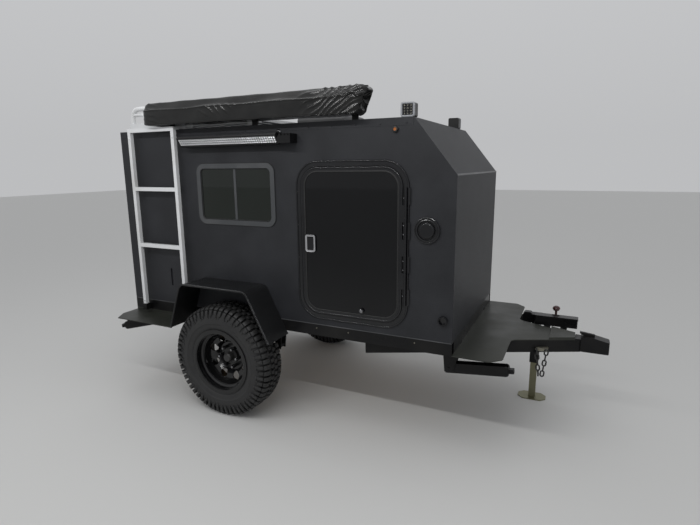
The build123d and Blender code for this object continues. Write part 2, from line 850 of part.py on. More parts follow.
def door_latch():
    """Paddle latch at the rear edge and the small lock knob low down."""
    outside = -side_y - leaf_proud + 2
    x = door_x - latch_behind_door
    pan = rounded_panel(x, latch_height, latch_width, latch_tall, 16, outside - 9, outside)
    dish = rounded_panel(x, latch_height, latch_width - 16, latch_tall - 20, 10, outside - 10, outside - 3)
    paddle = rounded_panel(x + 2, latch_height, latch_width - 30, latch_tall - 38, 8, outside - 12,
                           outside - 3)
    knob = bar_along_y(door_x + lock_ahead_of_door, lock_height, lock_diameter, outside - 12, outside)
    return [pan - dish + paddle, knob]


# Side windows
def window_frame():
    x, z = window_x, window_height_centre
    flange = rounded_panel(x, z, window_width, window_tall, window_corner,
                           -side_y - window_flange_thickness, -side_y)
    lining = rounded_panel(x, z, window_width - 2 * window_flange, window_tall - 2 * window_flange,
                           window_corner - window_flange, -side_y, -inner_y)
    hole = rounded_panel(x, z, window_width - 2 * window_flange - 2 * window_lining,
                         window_tall - 2 * window_flange - 2 * window_lining,
                         window_corner - window_flange - window_lining, -side_y - 20, -inner_y + 20)
    bar = block(x - window_bar / 2, x + window_bar / 2, -side_y + 2, -side_y + 16,
                z - window_tall / 2 + window_flange, z + window_tall / 2 - window_flange)
    return flange + lining - hole + bar


def window_glass():
    x, z = window_x, window_height_centre
    wide = window_width - 2 * window_flange - 2 * window_lining - 0.6
    tall = window_tall - 2 * window_flange - 2 * window_lining - 0.6
    corner = window_corner - window_flange - window_lining
    pane = rounded_panel(x, z, wide, tall, corner, -side_y + 4, -side_y + 4 + glass_thickness)
    half = window_bar / 2 + 0.3
    return [pane & block(x + half, x + wide, -side_y, -inner_y, z - tall, z + tall),
            pane & block(x - wide, x - half, -side_y, -inner_y, z - tall, z + tall)]


# Rear hatch, hinged under the rear edge of the roof
hatch_axis_x = rear_x - hatch_hinge_diameter / 2 - 1
hatch_axis_z = roof_inside - panel_gap / 2


def hatch():
    """Flat insulated panel with its frame ribs and the turning part of the long hinge."""
    y = inner_y - panel_gap
    panel = block(rear_x, rear_x + wall, -y, y, trim_height + panel_gap, roof_inside - panel_gap)
    barrel = bar_along_y(hatch_axis_x, hatch_axis_z, hatch_hinge_diameter, -hatch_hinge_half,
                         hatch_hinge_half)
    plate = block(hatch_axis_x, rear_x, -hatch_hinge_half, hatch_hinge_half, roof_inside - 46,
                  roof_inside - panel_gap)
    bore = bar_along_y(hatch_axis_x, hatch_axis_z, hinge_pin_diameter + 2 * running_clearance, -side_y,
                       side_y)
    return panel + barrel + plate - bore


def hatch_hinge():
    """Fixed end knuckles on the roof's edge and the pin that runs between them."""
    ends = []
    for side in (-1, 1):
        y0, y1 = sorted((side * (hatch_hinge_half + knuckle_gap), side * (hatch_hinge_half + 50)))
        ends.append(bar_along_y(hatch_axis_x, hatch_axis_z, hatch_hinge_diameter, y0, y1)
                    + block(hatch_axis_x, rear_x, y0, y1, hatch_axis_z - 4, roof_height - 6))
    pin = bar_along_y(hatch_axis_x, hatch_axis_z, hinge_pin_diameter, -hatch_hinge_half - 40,
                      hatch_hinge_half + 40)
    return joined(ends + [pin])


def hatch_handle():
    z = trim_height + hatch_handle_above_trim
    half = hatch_handle_width / 2
    pan = block(rear_x - 6, rear_x, -half, half, z - 35, z + 35)
    grip = block(rear_x - hatch_handle_reach, rear_x - 20, 15 - half, half - 15, z - 10, z + 10)
    post = block(rear_x - 20, rear_x - 6, -12, 12, z - 10, z + 10)
    return pan + grip + post


def tail_lamps():
    """A lamp on the rear face of the last cross member, near each end."""
    z = rail_bottom + (rail_height - lamp_height) / 2
    lamps = [block(rear_x - lamp_depth, rear_x, s * lamp_y - lamp_width / 2, s * lamp_y + lamp_width / 2,
                   z, z + lamp_height) for s in (-1, 1)]
    return [fillet(lamp.edges().filter_by(Axis.X), lamp_height / 4) for lamp in lamps]


# Roof rack: two rails on feet, slats across and a raised hoop along each side
rack_x0 = rear_x + rack_from_rear
rack_x1 = rack_x0 + rack_length
rack_base_z = roof_height + rack_foot_height
rack_top_z = rack_base_z + rack_rail_height
hoop_top_height = rack_top_z + hoop_rise


def rack_base():
    pieces = []
    for s in (-1, 1):
        y = s * rack_half_width
        pieces.append(block(rack_x0, rack_x1, y - rack_rail_width / 2, y + rack_rail_width / 2,
                            rack_base_z, rack_top_z))
        for x in (rack_x0 + rack_foot_inset, (rack_x0 + rack_x1) / 2, rack_x1 - rack_foot_inset):
            pieces.append(block(x - 25, x + 25, y - 20, y + 20, roof_height, rack_base_z))
    count = int((rack_length - slat_width) / slat_pitch) + 1
    start = rack_x0 + (rack_length - (count - 1) * slat_pitch) / 2
    for i in range(count):
        x = start + i * slat_pitch
        pieces.append(block(x - slat_width / 2, x + slat_width / 2, -rack_half_width, rack_half_width,
                            rack_top_z - slat_thickness - 8, rack_top_z - 8))
    return joined(pieces)


def rack_hoop():
    """Raised tube with rounded ends and the short brace at its rear corner."""
    y = -rack_half_width
    x0, x1 = rack_x0 + hoop_tube / 2, rack_x1 - hoop_tube / 2
    hoop = tube_path([(x0, y, rack_top_z), (x0, y, hoop_top_height), (x1, y, hoop_top_height),
                      (x1, y, rack_top_z)], [hoop_bend, hoop_bend], hoop_tube)
    z = hoop_top_height - brace_below_hoop
    brace = tube_path([(x0, y, z), (x0 + brace_level_run, y, z), (x0 + brace_run, y, rack_top_z)],
                      [brace_bend],
                      brace_tube)
    return hoop + brace


# Awning bag along the right roof edge, and what holds it
def awning_bag():
    """Closed bag with a ridge along its outer side, its ends rounded off."""
    depth, tall = bag_depth, bag_height
    section = [(bag_ridge_lean, 0), (0, tall * bag_ridge_share), (bag_ridge_lean * 1.6, tall),
               (depth, tall),
               (depth, 0)]
    x0 = rear_x + bag_from_rear
    face = make_face(Polyline([(x0, bag_near_y + y, bag_bottom_height + z) for y, z in section],
                              close=True))
    bag = extrude(face, amount=bag_length, dir=(1, 0, 0))
    bag = fillet(bag.edges().filter_by(Axis.X), bag_round)
    return fillet(bag.faces().sort_by(Axis.X)[0].edges() + bag.faces().sort_by(Axis.X)[-1].edges(),
                  bag_end_round)


def bag_brackets():
    """Angle brackets from the roof edge out to the back of the bag."""
    pieces = []
    back = bag_near_y + bag_depth
    t = bag_bracket_sheet
    for along in (bag_bracket_inset, bag_length / 2, bag_length - bag_bracket_inset):
        x = rear_x + bag_from_rear + along
        w = bag_bracket_width / 2
        upright = block(x - w, x + w, back + 0.3, back + 0.3 + t, roof_height,
                        bag_bottom_height + bag_height * 0.6)
        foot = block(x - w, x + w, back + 0.3, back + 34, roof_height, roof_height + t)
        pieces.append(upright + foot)
    return pieces


# Roof vent: collar on the roof, lid over it on a pin at the front
vent_pin_x = rear_x + vent_from_rear + vent_size / 2 - 4
vent_pin_z = roof_height + 24


def roof_vent():
    """Flange and collar on the roof, with two lugs and the hinge pin."""
    x, half = rear_x + vent_from_rear, vent_size / 2
    flange = block(x - half, x + half, -half, half, roof_height, roof_height + vent_sheet)
    h = vent_opening / 2
    collar = block(x - h, x + h, -h, h, roof_inside, roof_height + vent_collar)
    h = h - vent_sheet
    well = block(x - h, x + h, -h, h, roof_inside - 1, roof_height + vent_collar + 1)
    pin = bar_along_y(vent_pin_x, vent_pin_z, hinge_pin_diameter, -vent_lug_y - 12, vent_lug_y + 12)
    lugs = []
    for s in (-1, 1):
        y0, y1 = sorted((s * (vent_lug_y + 4), s * (vent_lug_y + 12)))
        lugs.append(block(vent_pin_x - 6, vent_pin_x + 4, y0, y1, roof_height + 5, vent_pin_z + 5))
    return joined([flange, collar, pin] + lugs) - well


def vent_lid():
    """Domed lid, hollow below, with the two eyes that turn on the pin."""
    x, half = rear_x + vent_from_rear, vent_size / 2 - 22
    low, top = vent_pin_z - 4, roof_height + vent_lid_height
    shell = block(x - half, x + half, -half, half, low, top)
    shell = fillet(shell.faces().sort_by(Axis.Z)[-1].edges(), 36)
    hollow = block(x - half + 4, x + half - 4, -half + 4, half - 4, low - 1, roof_height + vent_collar + 8)
    eyes = block(x + half - 2, vent_pin_x, -vent_lug_y, vent_lug_y, vent_pin_z - 3, vent_pin_z + 5)
    barrel = bar_along_y(vent_pin_x, vent_pin_z, 12, -vent_lug_y, vent_lug_y)
    bore = bar_along_y(vent_pin_x, vent_pin_z, hinge_pin_diameter + 2 * running_clearance, -half, half)
    return shell - hollow + eyes + barrel - bore


# Lamps
def light_bar():
    """Housing hung under the roof edge, its recessed lens turned out and down, with a toothed end block."""
    x0 = rear_x + light_bar_from_rear
    x1 = x0 + light_bar_length
    y, z = -side_y, roof_height - light_bar_below_roof
    rise, drop = light_bar_rise, light_bar_drop
    brow = (light_bar_reach, rise - light_bar_brow)
    chin = (light_bar_reach * 0.63, 4 - drop)
    section = [(light_bar_gap, rise), (light_bar_reach - 8, rise - 6), brow, chin, (chin[0] - 10, -drop),
               (light_bar_gap, -6)]
    face = make_face(Polyline([(x0, y - out, z + up) for out, up in section], close=True))
    body = extrude(face, amount=light_bar_length, dir=(1, 0, 0))
    middle = Vector(0, y - (brow[0] + chin[0]) / 2, z + (brow[1] + chin[1]) / 2)
    along = Vector(0, chin[0] - brow[0], brow[1] - chin[1]).normalized()
    lens = Plane((x0 + light_bar_cheek, middle.Y, middle.Z), x_dir=(1, 0, 0),
                 z_dir=Vector(1, 0, 0).cross(along))
    lens_length = light_bar_length - 2 * light_bar_cheek
    recess = lens * Pos(lens_length / 2, 0, 0) * Box(lens_length, light_bar_lens, 2 * light_bar_lens_depth)
    body = body - recess
    top_out, top_in = light_bar_reach - 18, light_bar_gap + 8
    pitch = (top_out - top_in) / light_bar_fins
    for i in range(light_bar_fins):
        out = top_in + (i + 0.5) * pitch
        body = body - block(x0 + light_bar_cheek, x1 - light_bar_cheek, y - out - pitch / 4,
                            y - out + pitch / 4,
                            z + rise - 6 - light_bar_fin_depth, z + rise + 1)
    w = light_bar_mount_width / 2
    mounts = [block(x - w, x + w, y - light_bar_gap - 10, y, z - 4, z + rise - 4)
              for x in (x0 + light_bar_mount_inset, x1 - light_bar_mount_inset)]
    end = block(x1, x1 + light_bar_end_length, y - light_bar_end_reach, y, z - light_bar_end_drop,
                z + light_bar_end_rise)
    tooth = light_bar_end_length / (2 * light_bar_end_teeth)
    for i in range(light_bar_end_teeth):
        gap_x = x1 + (2 * i + 1) * tooth - tooth / 2
        end = end - block(gap_x, gap_x + tooth * 0.7, y - light_bar_end_reach - 1, y - 20,
                          z + light_bar_end_rise - 12, z + light_bar_end_rise + 1)
    knob_y, knob_z = y - light_bar_reach + 28, z + rise + 2
    knob = rod((x1 - 4, knob_y, knob_z), (x1 + 14, knob_y, knob_z), light_bar_knob)
    return joined([body, end, knob] + mounts)


def light_pods():
    """Cube lamps on brackets, their recessed lenses turned out to each side."""
    pieces = []
    x = chamfer_x - pod_behind_chamfer
    half = pod_size / 2
    z = roof_height + pod_foot_height
    for s in (-1, 1):
        y0, y1 = sorted((s * pod_y, s * (pod_y + pod_depth)))
        cube = block(x - half, x + half, y0, y1, z, z + pod_size)
        cube = fillet(cube.edges().filter_by(Axis.Y), pod_corner)
        face_y = s * (pod_y + pod_depth)
        lens = half - pod_bezel
        l0, l1 = sorted((face_y - s * pod_lens_depth, face_y + s))
        cube = cube - block(x - lens, x + lens, l0, l1, z + pod_bezel, z + pod_size - pod_bezel)
        foot = block(x - 22, x + 22, y0 + 12, y1 - 12, roof_height, z)
        pieces.append(cube + foot)
    return pieces


def markers():
    lens = []
    for s in (-1, 1):
        y0, y1 = sorted((s * side_y, s * (side_y + 12)))
        lens.append(bar_along_y(chamfer_x - marker_behind_chamfer, roof_height - marker_below_roof,
                                marker_diameter, y0, y1))
    return lens


def vent_port():
    """Round louvred port with a domed cap."""
    x, z = front_x - port_from_front, port_height
    ring = bar_along_y(x, z, port_diameter, -side_y - 9, -side_y)
    groove = bar_along_y(x, z, port_diameter - 30, -side_y - 10, -side_y - 4)
    dome = bar_along_y(x, z, port_diameter * 0.6, -side_y - 22, -side_y - 4)
    dome = fillet(dome.edges().sort_by(Axis.Y)[0], 8)
    return ring - groove + dome


def power_inlet():
    x, z = front_x - inlet_from_front, inlet_height
    flange = bar_along_y(x, z, inlet_diameter, -side_y - 8, -side_y)
    mouth = bar_along_y(x, z, inlet_diameter * 0.6, -side_y - 9, -side_y - 3)
    return flange - mouth


# Ladder on the right side
def ladder():
    t = ladder_tube
    y1 = -side_y - ladder_stand_off
    y0 = y1 - t
    x_left = rear_x + ladder_left_from_rear
    x_right = x_left + ladder_spacing
    top = roof_height + ladder_above_roof
    pieces = []
    for x in (x_left, x_right):
        pieces.append(block(x - t / 2, x + t / 2, y0, y1, ladder_foot_height, top))
        pieces.append(block(x - t / 2, x + t / 2, y1, -side_y + ladder_hook_reach, roof_height, top))
    for z in rung_heights + [top - t / 2]:
        pieces.append(block(x_left, x_right, y0, y1, z - t / 2, z + t / 2))
    return joined(pieces)


def ladder_feet():
    """Black socket brackets on the frame rail that hold the ladder's feet."""
    t = ladder_tube
    pieces = []
    y1 = -side_y - ladder_stand_off
    for i in (0, 1):
        x = rear_x + ladder_left_from_rear + i * ladder_spacing
        if i:
            x0, x1 = x - t / 2 - 5, x + t / 2
        else:
            x0, x1 = x - t / 2 - 5, x + t / 2 + 5
        socket = block(x0, x1, y1 - t - 5, y1 + 5, ladder_foot_height - ladder_socket,
                       ladder_foot_height - 0.3)
        arm = block(x0, x1, y1 + 5, -side_y, ladder_foot_height - ladder_socket, trim_height - 25)
        pieces.append(socket + arm)
    return pieces


# Jack on the left tongue beam
jack_x = front_x + jack_ahead_of_body


def jack_tube():
    s, w = jack_tube_size, jack_tube_wall
    tube = Pos(jack_x, jack_y, jack_tube_bottom) * Box(
        s, s, jack_tube_top - jack_tube_bottom, align=(Align.CENTER, Align.CENTER, Align.MIN))
    inner = Pos(jack_x, jack_y, jack_tube_bottom - 1) * Box(
        s - 2 * w, s - 2 * w, jack_tube_top - jack_tube_bottom - 10,
        align=(Align.CENTER, Align.CENTER, Align.MIN))
    beam_face = beam_outer_y(jack_x)
    pivot = bar_along_y(jack_x, rail_bottom - beam_height / 2, 54, beam_face - 4, jack_y - s / 2 + 1)
    beam_side = tongue_beam_solid()
    return tube - inner + (pivot - beam_side)


def tongue_beam_solid():
    """The left tongue beam without its hollow, as a cutter."""
    length = (apex_x - beam_back_x) / cos(radians(tongue_angle)) + beam_width
    solid = Pos(length / 2, 0, beam_height / 2) * Box(length, beam_width, beam_height)
    return Pos(beam_back_x, beam_back_y, beam_low) * Rot(0, 0, -tongue_angle) * solid


def jack_leg():
    """Square inner leg on its eight-sided foot plate."""
    leg = Pos(jack_x, jack_y, jack_foot_sheet) * Box(jack_leg_size, jack_leg_size, jack_leg_length,
                                                     align=(Align.CENTER, Align.CENTER, Align.MIN))
    l, w, cut = jack_foot_length / 2, jack_foot_width / 2, jack_foot_cut
    corners = [(-l, cut - w), (cut - l, -w), (l - cut, -w), (l, cut - w), (l, w - cut), (l - cut, w),
               (cut - l, w), (-l, w - cut)]
    foot = Pos(jack_x, jack_y, 0) * plan_prism(corners, 0, jack_foot_sheet)
    return leg + foot


crank_z = jack_tube_top + jack_cap_height


def jack_head():
    """Gear housing behind the tube, its cap and the crank arm."""
    half = jack_tube_size / 2
    cap = Pos(jack_x, jack_y, jack_tube_top) * Box(jack_tube_size + 8, jack_tube_size + 8, jack_cap_height,
                                                   align=(Align.CENTER, Align.CENTER, Align.MIN))
    arm = block(jack_x, jack_x + crank_arm + 10, jack_y - 9, jack_y + 9, crank_z, crank_z + crank_sheet)
    housing = block(jack_x - half - gear_housing_length, jack_x - half, jack_y - half + 6,
                    jack_y + half - 6,
                    jack_tube_top - gear_housing_rise, jack_tube_top + gear_housing_rise / 2)
    housing = fillet(housing.edges().filter_by(Axis.Y), 20)
    neck = block(jack_x - half - gear_housing_length / 2, jack_x - half, jack_y - half + 8,
                 jack_y + half - 8,
                 jack_tube_top - gear_housing_rise + 4, jack_tube_top)
    return cap + arm + housing + neck


def crank_knob():
    """Flattened round knob on its stem at the end of the crank arm."""
    x, z = jack_x + crank_arm, crank_z + crank_sheet
    r, h = knob_diameter / 2, knob_height / 2
    middle = z + knob_stem_length + h
    outline = [(0, z), (7, z), (8, middle - h), (r * 0.72, middle - h * 0.8), (r, middle),
               (r * 0.8, middle + h * 0.66),
               (r * 0.4, middle + h), (0, middle + h)]
    face = make_face(Polyline([(d, 0, v) for d, v in outline], close=True))
    return Pos(x, jack_y, 0) * revolve(face, axis=Axis.Z)


def tongue_case():
    """Slim black case beside the left beam, on two arms from the beam's outer face."""
    x0 = jack_x - case_behind_jack
    z0 = rail_bottom + case_above_beam
    case = block(x0, x0 + case_length, case_near_y, case_near_y + case_depth, z0, z0 + case_height)
    case = fillet(case.edges().filter_by(Axis.Z), 8)
    seam = z0 + case_height - case_lid_height
    lid = block(x0 - 2, x0 + case_length + 2, case_near_y - 2, case_near_y + case_depth + 2, seam,
                seam + case_lid_height)
    case = case + fillet(lid.edges().filter_by(Axis.Z), 9)
    arms = []
    for x in (x0 + case_arm_inset, x0 + case_length - case_arm_inset - case_arm_width):
        end = x + case_arm_width
        arms.append(plan_prism([(x, beam_outer_y(x)), (x, case_near_y + case_depth),
                                (end, case_near_y + case_depth),
                                (end, beam_outer_y(end))], z0 - case_arm_sheet, z0))
    return joined([case] + arms)


# Safety chains hung up on the right tongue beam
def link_outline(inset):
    """Eight-cornered outline of a link, long in X, drawn in by an inset."""
    x, y = chain_link_length / 2 - inset, chain_link_width / 2 - inset
    cut = (chain_link_width / 2 - inset * 0.6) * 0.6
    return make_face(Polyline([(x, y - cut), (x - cut, y), (cut - x, y), (-x, y - cut), (-x, cut - y),
                               (cut - x, -y), (x - cut, -y), (x, cut - y)], close=True))


def link_ring():
    """One chain link of flat-faced bar in the XY plane."""
    return extrude(link_outline(0) - link_outline(chain_wire), amount=chain_wire / 2, both=True)


def chain_link(x, y, z, tilt, turned):
    """One link that hangs along Z, leaned by tilt, its flat side turned to X or to Y."""
    return Pos(x, y, z) * Rot(0, tilt, 0) * Rot(0, 0, 90 if turned else 0) * Rot(0, 90, 0) * link_ring()


def safety_chains():
    """Oval plate on the right beam's face with a loop of chain hung from its two ends."""
    x0 = front_x + chain_ahead_of_body
    face_y = beam_outer_y(x0 - chain_plate_length / 2)
    y0 = -face_y - chain_plate_sheet - chain_link_width / 2 + chain_wire / 2
    plate_z = beam_low + beam_height / 3
    oval = Plane((x0, -face_y - chain_plate_sheet, plate_z), x_dir=(1, 0, 0), z_dir=(0, 1, 0))
    oval = oval * SlotOverall(chain_plate_length, chain_plate_height)
    plate = extrude(oval, amount=chain_plate_sheet + face_y - beam_outer_y(x0 + chain_plate_length / 2),
                    dir=(0, 1, 0))
    plate = plate - left(tongue_beam_solid())
    pitch = chain_link_length - 1.2 * chain_wire
    tilt = degrees(asin((chain_spread - chain_link_width / 3) / (pitch * chain_links)))
    pieces = [plate]
    for s in (-1, 1):
        for i in range(chain_links):
            along = (i + 0.35) * pitch
            x = x0 + s * (chain_spread - along * sin(radians(tilt)))
            z = plate_z - along * cos(radians(tilt))
            pieces.append(chain_link(x, y0, z, s * tilt, i % 2 == 1))
    last = Rot(90, 0, 0) * link_ring()
    pieces.append(Pos(x0, y0, plate_z - (chain_links - 0.15) * pitch) * last)
    return joined(pieces)


# Stabiliser legs: bracket on the frame, channel leg that swings down
def leg_local(length):
    """A channel leg along +X from its pin at the origin, open side up, with its foot block at the end."""
    w, d, t = leg_width, leg_depth, leg_sheet
    pin_end = 20
    outer = Pos(length / 2 - pin_end / 2, 0, 0) * Box(length + pin_end, w, d)
    ends = [e for e in outer.edges().filter_by(Axis.Y) if e.center().X > length - 1]
    outer = fillet(ends, d * 0.3)
    inner = Pos(length / 2 - pin_end / 2 - t, 0, t) * Box(length + pin_end, w - 2 * t, d)
    foot = Pos(length + leg_foot_stub / 2 - t, 0, -2) * Box(leg_foot_stub + 2 * t, w * 0.6, d * 0.42)
    leg = outer - inner + foot
    return leg - rod((0, -w, 0), (0, w, 0), leg_pin_diameter + 2 * running_clearance)


def bracket_local(drop):
    """Two cheeks each side of the leg, a top plate on the frame and the pin."""
    w, t = leg_width + 2, leg_bracket_sheet
    cheeks = []
    for s in (-1, 1):
        y0, y1 = sorted((s * w / 2, s * (w / 2 + t)))
        cheeks.append(side_prism([(-34, drop), (60, drop), (26, -22), (-22, -22)], y0, y1))
    top = block(-34, 60, -w / 2 - t, w / 2 + t, drop - 5, drop)
    pin = rod((0, -w / 2 - t - 6, 0), (0, w / 2 + t + 6, 0), leg_pin_diameter)
    return joined(cheeks + [top, pin])


def leg_places():
    """Name, length, pin's drop below the frame, x, y, plan direction and slope below level of each leg."""
    places = []
    for name, s in (("right", -1), ("left", 1)):
        places.append(("front_" + name, leg_front_length, leg_front_pin_drop,
                       front_x - leg_front_from_front,
                       s * (side_y - leg_front_inset), s * leg_front_splay, leg_front_slope))
        places.append(("rear_" + name, leg_rear_length, leg_rear_pin_drop, rear_x + leg_rear_from_rear,
                       s * (side_y - leg_rear_inset), 180 - s * leg_rear_splay, leg_rear_slope))
    return places


def stabiliser_leg(length, drop, x, y, direction, slope):
    return Pos(x, y, rail_bottom - drop) * Rot(0, 0, direction) * Rot(0, slope, 0) * leg_local(length)


def stabiliser_brackets():
    return [Pos(x, y, rail_bottom - drop) * Rot(0, 0, direction) * bracket_local(drop)
            for name, length, drop, x, y, direction, slope in leg_places()]


def as_list(shape):
    return list(shape) if isinstance(shape, (list, tuple)) else [shape]


def both_sides(shape):
    return as_list(shape) + [left(s) for s in as_list(shape)]


nodes = {
    "frame_rails": frame_rails(),
    "cross_members": cross_members(),
    "tongue": tongue(),
    "coupler": coupler(),
    "deck_plates": [front_deck(), tongue_pan()],
    "axle": axle(),
    "springs": springs(),
    "spring_hangers": spring_hangers(),
    "fenders": both_sides(fender()),
    "side_steps": both_sides(side_step()),
    "side_wall_right": side_wall(),
    "side_wall_left": left(side_wall()),
    "floor": floor(),
    "front_wall": front_wall(),
    "chamfer_panel": chamfer_panel(),
    "roof": roof(),
    "galley": galley(),
    "window_frames": both_sides(window_frame()),
    "window_glass": both_sides(window_glass()),
    "door_frames": both_sides(door_frame() + hinge_part(True)),
    "hatch_hinge": hatch_hinge(),
    "tail_lamps": tail_lamps(),
    "roof_rack": joined([rack_base()] + both_sides(rack_hoop())),
    "awning_bag": awning_bag(),
    "bag_brackets": bag_brackets(),
    "roof_vent": roof_vent(),
    "light_bar": light_bar(),
    "light_pods": light_pods(),
    "markers": markers(),
    "wall_ports": both_sides(vent_port()) + [power_inlet()],
    "ladder": ladder(),
    "ladder_feet": ladder_feet(),
    "jack_body": jack_tube() + jack_head(),
    "jack_leg": jack_leg(),
    "crank_knob": crank_knob(),
    "tongue_case": tongue_case(),
    "safety_chains": safety_chains(),
    "stabiliser_brackets": stabiliser_brackets(),
    "tyre_right": tyre(),
    "rim_right": rim(),
    "hub_right": hub(),
    "tyre_left": left(tyre()),
    "rim_left": left(rim()),
    "hub_left": left(hub()),
    "door_leaf_right": door_leaf() + hinge_part(False),
    "door_glass_right": door_glass(),
    "door_latch_right": door_latch(),
    "door_leaf_left": left(door_leaf() + hinge_part(False)),
    "door_glass_left": left(door_glass()),
    "door_latch_left": [left(s) for s in door_latch()],
    "vent_lid": vent_lid(),
    "hatch": hatch(),
    "hatch_handle": hatch_handle(),
}
for name, *place in leg_places():
    nodes["leg_" + name] = stabiliser_leg(*place)

os.makedirs("parts", exist_ok=True)
for name, shape in nodes.items():
    pieces = as_list(shape)
    whole = Compound(children=pieces) if len(pieces) > 1 else pieces[0]
    export_step(whole, "parts/" + name + ".step")
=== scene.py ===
import bpy
import bmesh
import math
from mathutils import Matrix, Vector


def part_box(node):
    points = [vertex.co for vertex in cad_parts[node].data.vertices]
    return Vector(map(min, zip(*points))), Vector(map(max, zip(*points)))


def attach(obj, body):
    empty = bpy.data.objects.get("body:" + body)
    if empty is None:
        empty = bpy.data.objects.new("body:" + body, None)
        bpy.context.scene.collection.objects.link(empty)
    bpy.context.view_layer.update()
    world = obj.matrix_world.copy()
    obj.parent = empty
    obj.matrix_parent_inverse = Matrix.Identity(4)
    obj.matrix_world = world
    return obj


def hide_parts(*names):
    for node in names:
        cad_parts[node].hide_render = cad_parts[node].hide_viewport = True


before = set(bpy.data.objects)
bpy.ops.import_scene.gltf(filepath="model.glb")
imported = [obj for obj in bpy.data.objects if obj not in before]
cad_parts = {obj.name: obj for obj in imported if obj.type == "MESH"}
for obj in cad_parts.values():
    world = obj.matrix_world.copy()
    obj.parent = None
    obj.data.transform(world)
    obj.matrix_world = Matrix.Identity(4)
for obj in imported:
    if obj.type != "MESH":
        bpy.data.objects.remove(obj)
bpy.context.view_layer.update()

# Perimeter frame, cross members, tongue, axle and springs.
# Welded rectangular steel tube and flat spring leaves, sprayed with satin black chassis paint
# that has a little orange peel and a film of road dust. The welds are rows of short ripples.


def feed(node, sources):
    """Links each input to its socket, or sets it to its value."""
    for key, source in sources.items():
        if isinstance(source, bpy.types.NodeSocket):
            node.id_data.links.new(source, node.inputs[key])
        else:
            node.inputs[key].default_value = source
    return node


def node_in(tree, kind, sources=None, **settings):
    """A new node with its settings and its inputs."""
    node = tree.nodes.new(kind)
    for key, value in settings.items():
        setattr(node, key, value)
    return feed(node, sources or {})


def combined(tree, operation, first, second):
    """Two numbers put together by a maths node."""
    return node_in(tree, "ShaderNodeMath", {0: first, 1: second}, operation=operation).outputs["Value"]


def object_noise(tree, scale, detail, roughness=0.5, stretch=(1, 1, 1)):
    """A noise pattern on the piece's own coordinates, in features per metre."""
    coordinates = node_in(tree, "ShaderNodeTexCoord")
    mapping = node_in(tree, "ShaderNodeMapping", {"Vector": coordinates.outputs["Object"], "Scale": stretch})
    return node_in(tree, "ShaderNodeTexNoise", {
        "Vector": mapping.outputs["Vector"], "Scale": scale, "Detail": detail,
        "Roughness": roughness}).outputs["Fac"]


def ramp_between(tree, factor, low, high, low_value=0, high_value=1):
    """Maps a factor from low..high onto two values."""
    return node_in(tree, "ShaderNodeMapRange", {
        "Value": factor, "From Min": low, "From Max": high, "To Min": low_value,
        "To Max": high_value}).outputs["Result"]


def colour_between(tree, factor, low_colour, high_colour):
    """Mixes two colours by a factor."""
    return node_in(tree, "ShaderNodeMix", {"Factor": factor, "A": (*low_colour, 1), "B": (*high_colour, 1)},
                   data_type="RGBA").outputs["Result"]


def bumped(tree, height, strength, distance):
    """A bump node that roughens the surface by a height pattern."""
    return node_in(tree, "ShaderNodeBump", {"Height": height, "Strength": strength, "Distance": distance})


def new_finish(name):
    """A material, its node tree and its surface shader."""
    material = bpy.data.materials.new(name)
    material.use_nodes = True
    return material, material.node_tree, material.node_tree.nodes["Principled BSDF"]


def painted_steel(name, colour, dust_colour, rough_low, rough_high, peel, gloss=0.5, metal=0.0):
    """Sprayed steel: fine orange peel, patchy gloss and thin dust in the broad patches."""
    material, tree, shader = new_finish(name)
    broad = object_noise(tree, 5, 4)
    feed(shader, {
        "Base Color": colour_between(tree, ramp_between(tree, broad, 0.45, 0.75), colour, dust_colour),
        "Roughness": ramp_between(tree, broad, 0.35, 0.7, rough_low, rough_high),
        "Specular IOR Level": gloss, "Metallic": metal,
        "Normal": bumped(tree, object_noise(tree, 420, 2), peel, 0.0006).outputs["Normal"]})
    return material


def finish_nodes(material, *names):
    """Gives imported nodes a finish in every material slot."""
    for name in names:
        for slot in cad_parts[name].material_slots:
            slot.material = material


chassis_paint = painted_steel("chassis_paint", (0.006, 0.006, 0.0065), (0.014, 0.0135, 0.0125),
                              0.26, 0.44, 0.25, 0.2)
finish_nodes(chassis_paint, "frame_rails", "cross_members", "tongue", "coupler", "axle", "springs",
             "spring_hangers", "stabiliser_brackets", "leg_front_right", "leg_front_left",
             "leg_rear_right", "leg_rear_left", "ladder_feet", "jack_body")


def solid(name, shells):
    """One mesh from closed shells given as (points, faces), its faces turned outwards."""
    points, faces = [], []
    for shell_points, shell_faces in shells:
        faces += [[i + len(points) for i in face] for face in shell_faces]
        points += shell_points
    mesh = bpy.data.meshes.new(name)
    mesh.from_pydata(points, [], faces)
    body = bmesh.new()
    body.from_mesh(mesh)
    bmesh.ops.recalc_face_normals(body, faces=body.faces)
    body.to_mesh(mesh)
    body.free()
    return mesh


def hoop(rings):
    """Closed shell through rings of equally many points, the last one joined to the first."""
    count, faces = len(rings[0]), []
    for k in range(len(rings)):
        m = (k + 1) % len(rings)
        for i in range(count):
            j = (i + 1) % count
            faces.append([k * count + i, k * count + j, m * count + j, m * count + i])
    return [point for ring in rings for point in ring], faces


def lofted(rings):
    """Closed shell through rings of equally many points, with flat ends."""
    points, faces = hoop(rings)
    count = len(rings[0])
    return points, [list(range(count))[::-1], list(range(len(points) - count, len(points)))] + faces[:-count]


def turned(profile, steps):
    """Shell of revolution about Z from (radius, height) stations; a closed profile ends where it starts."""
    turns = [2 * math.pi * i / steps for i in range(steps)]
    rings = [[(r * math.cos(a), r * math.sin(a), h) for a in turns] for r, h in profile]
    return hoop(rings[:-1]) if profile[0] == profile[-1] else lofted(rings)


def placed(shell, turn, place):
    """A shell turned by a matrix and moved."""
    points, faces = shell
    return [tuple(turn @ Vector(p) + Vector(place)) for p in points], faces


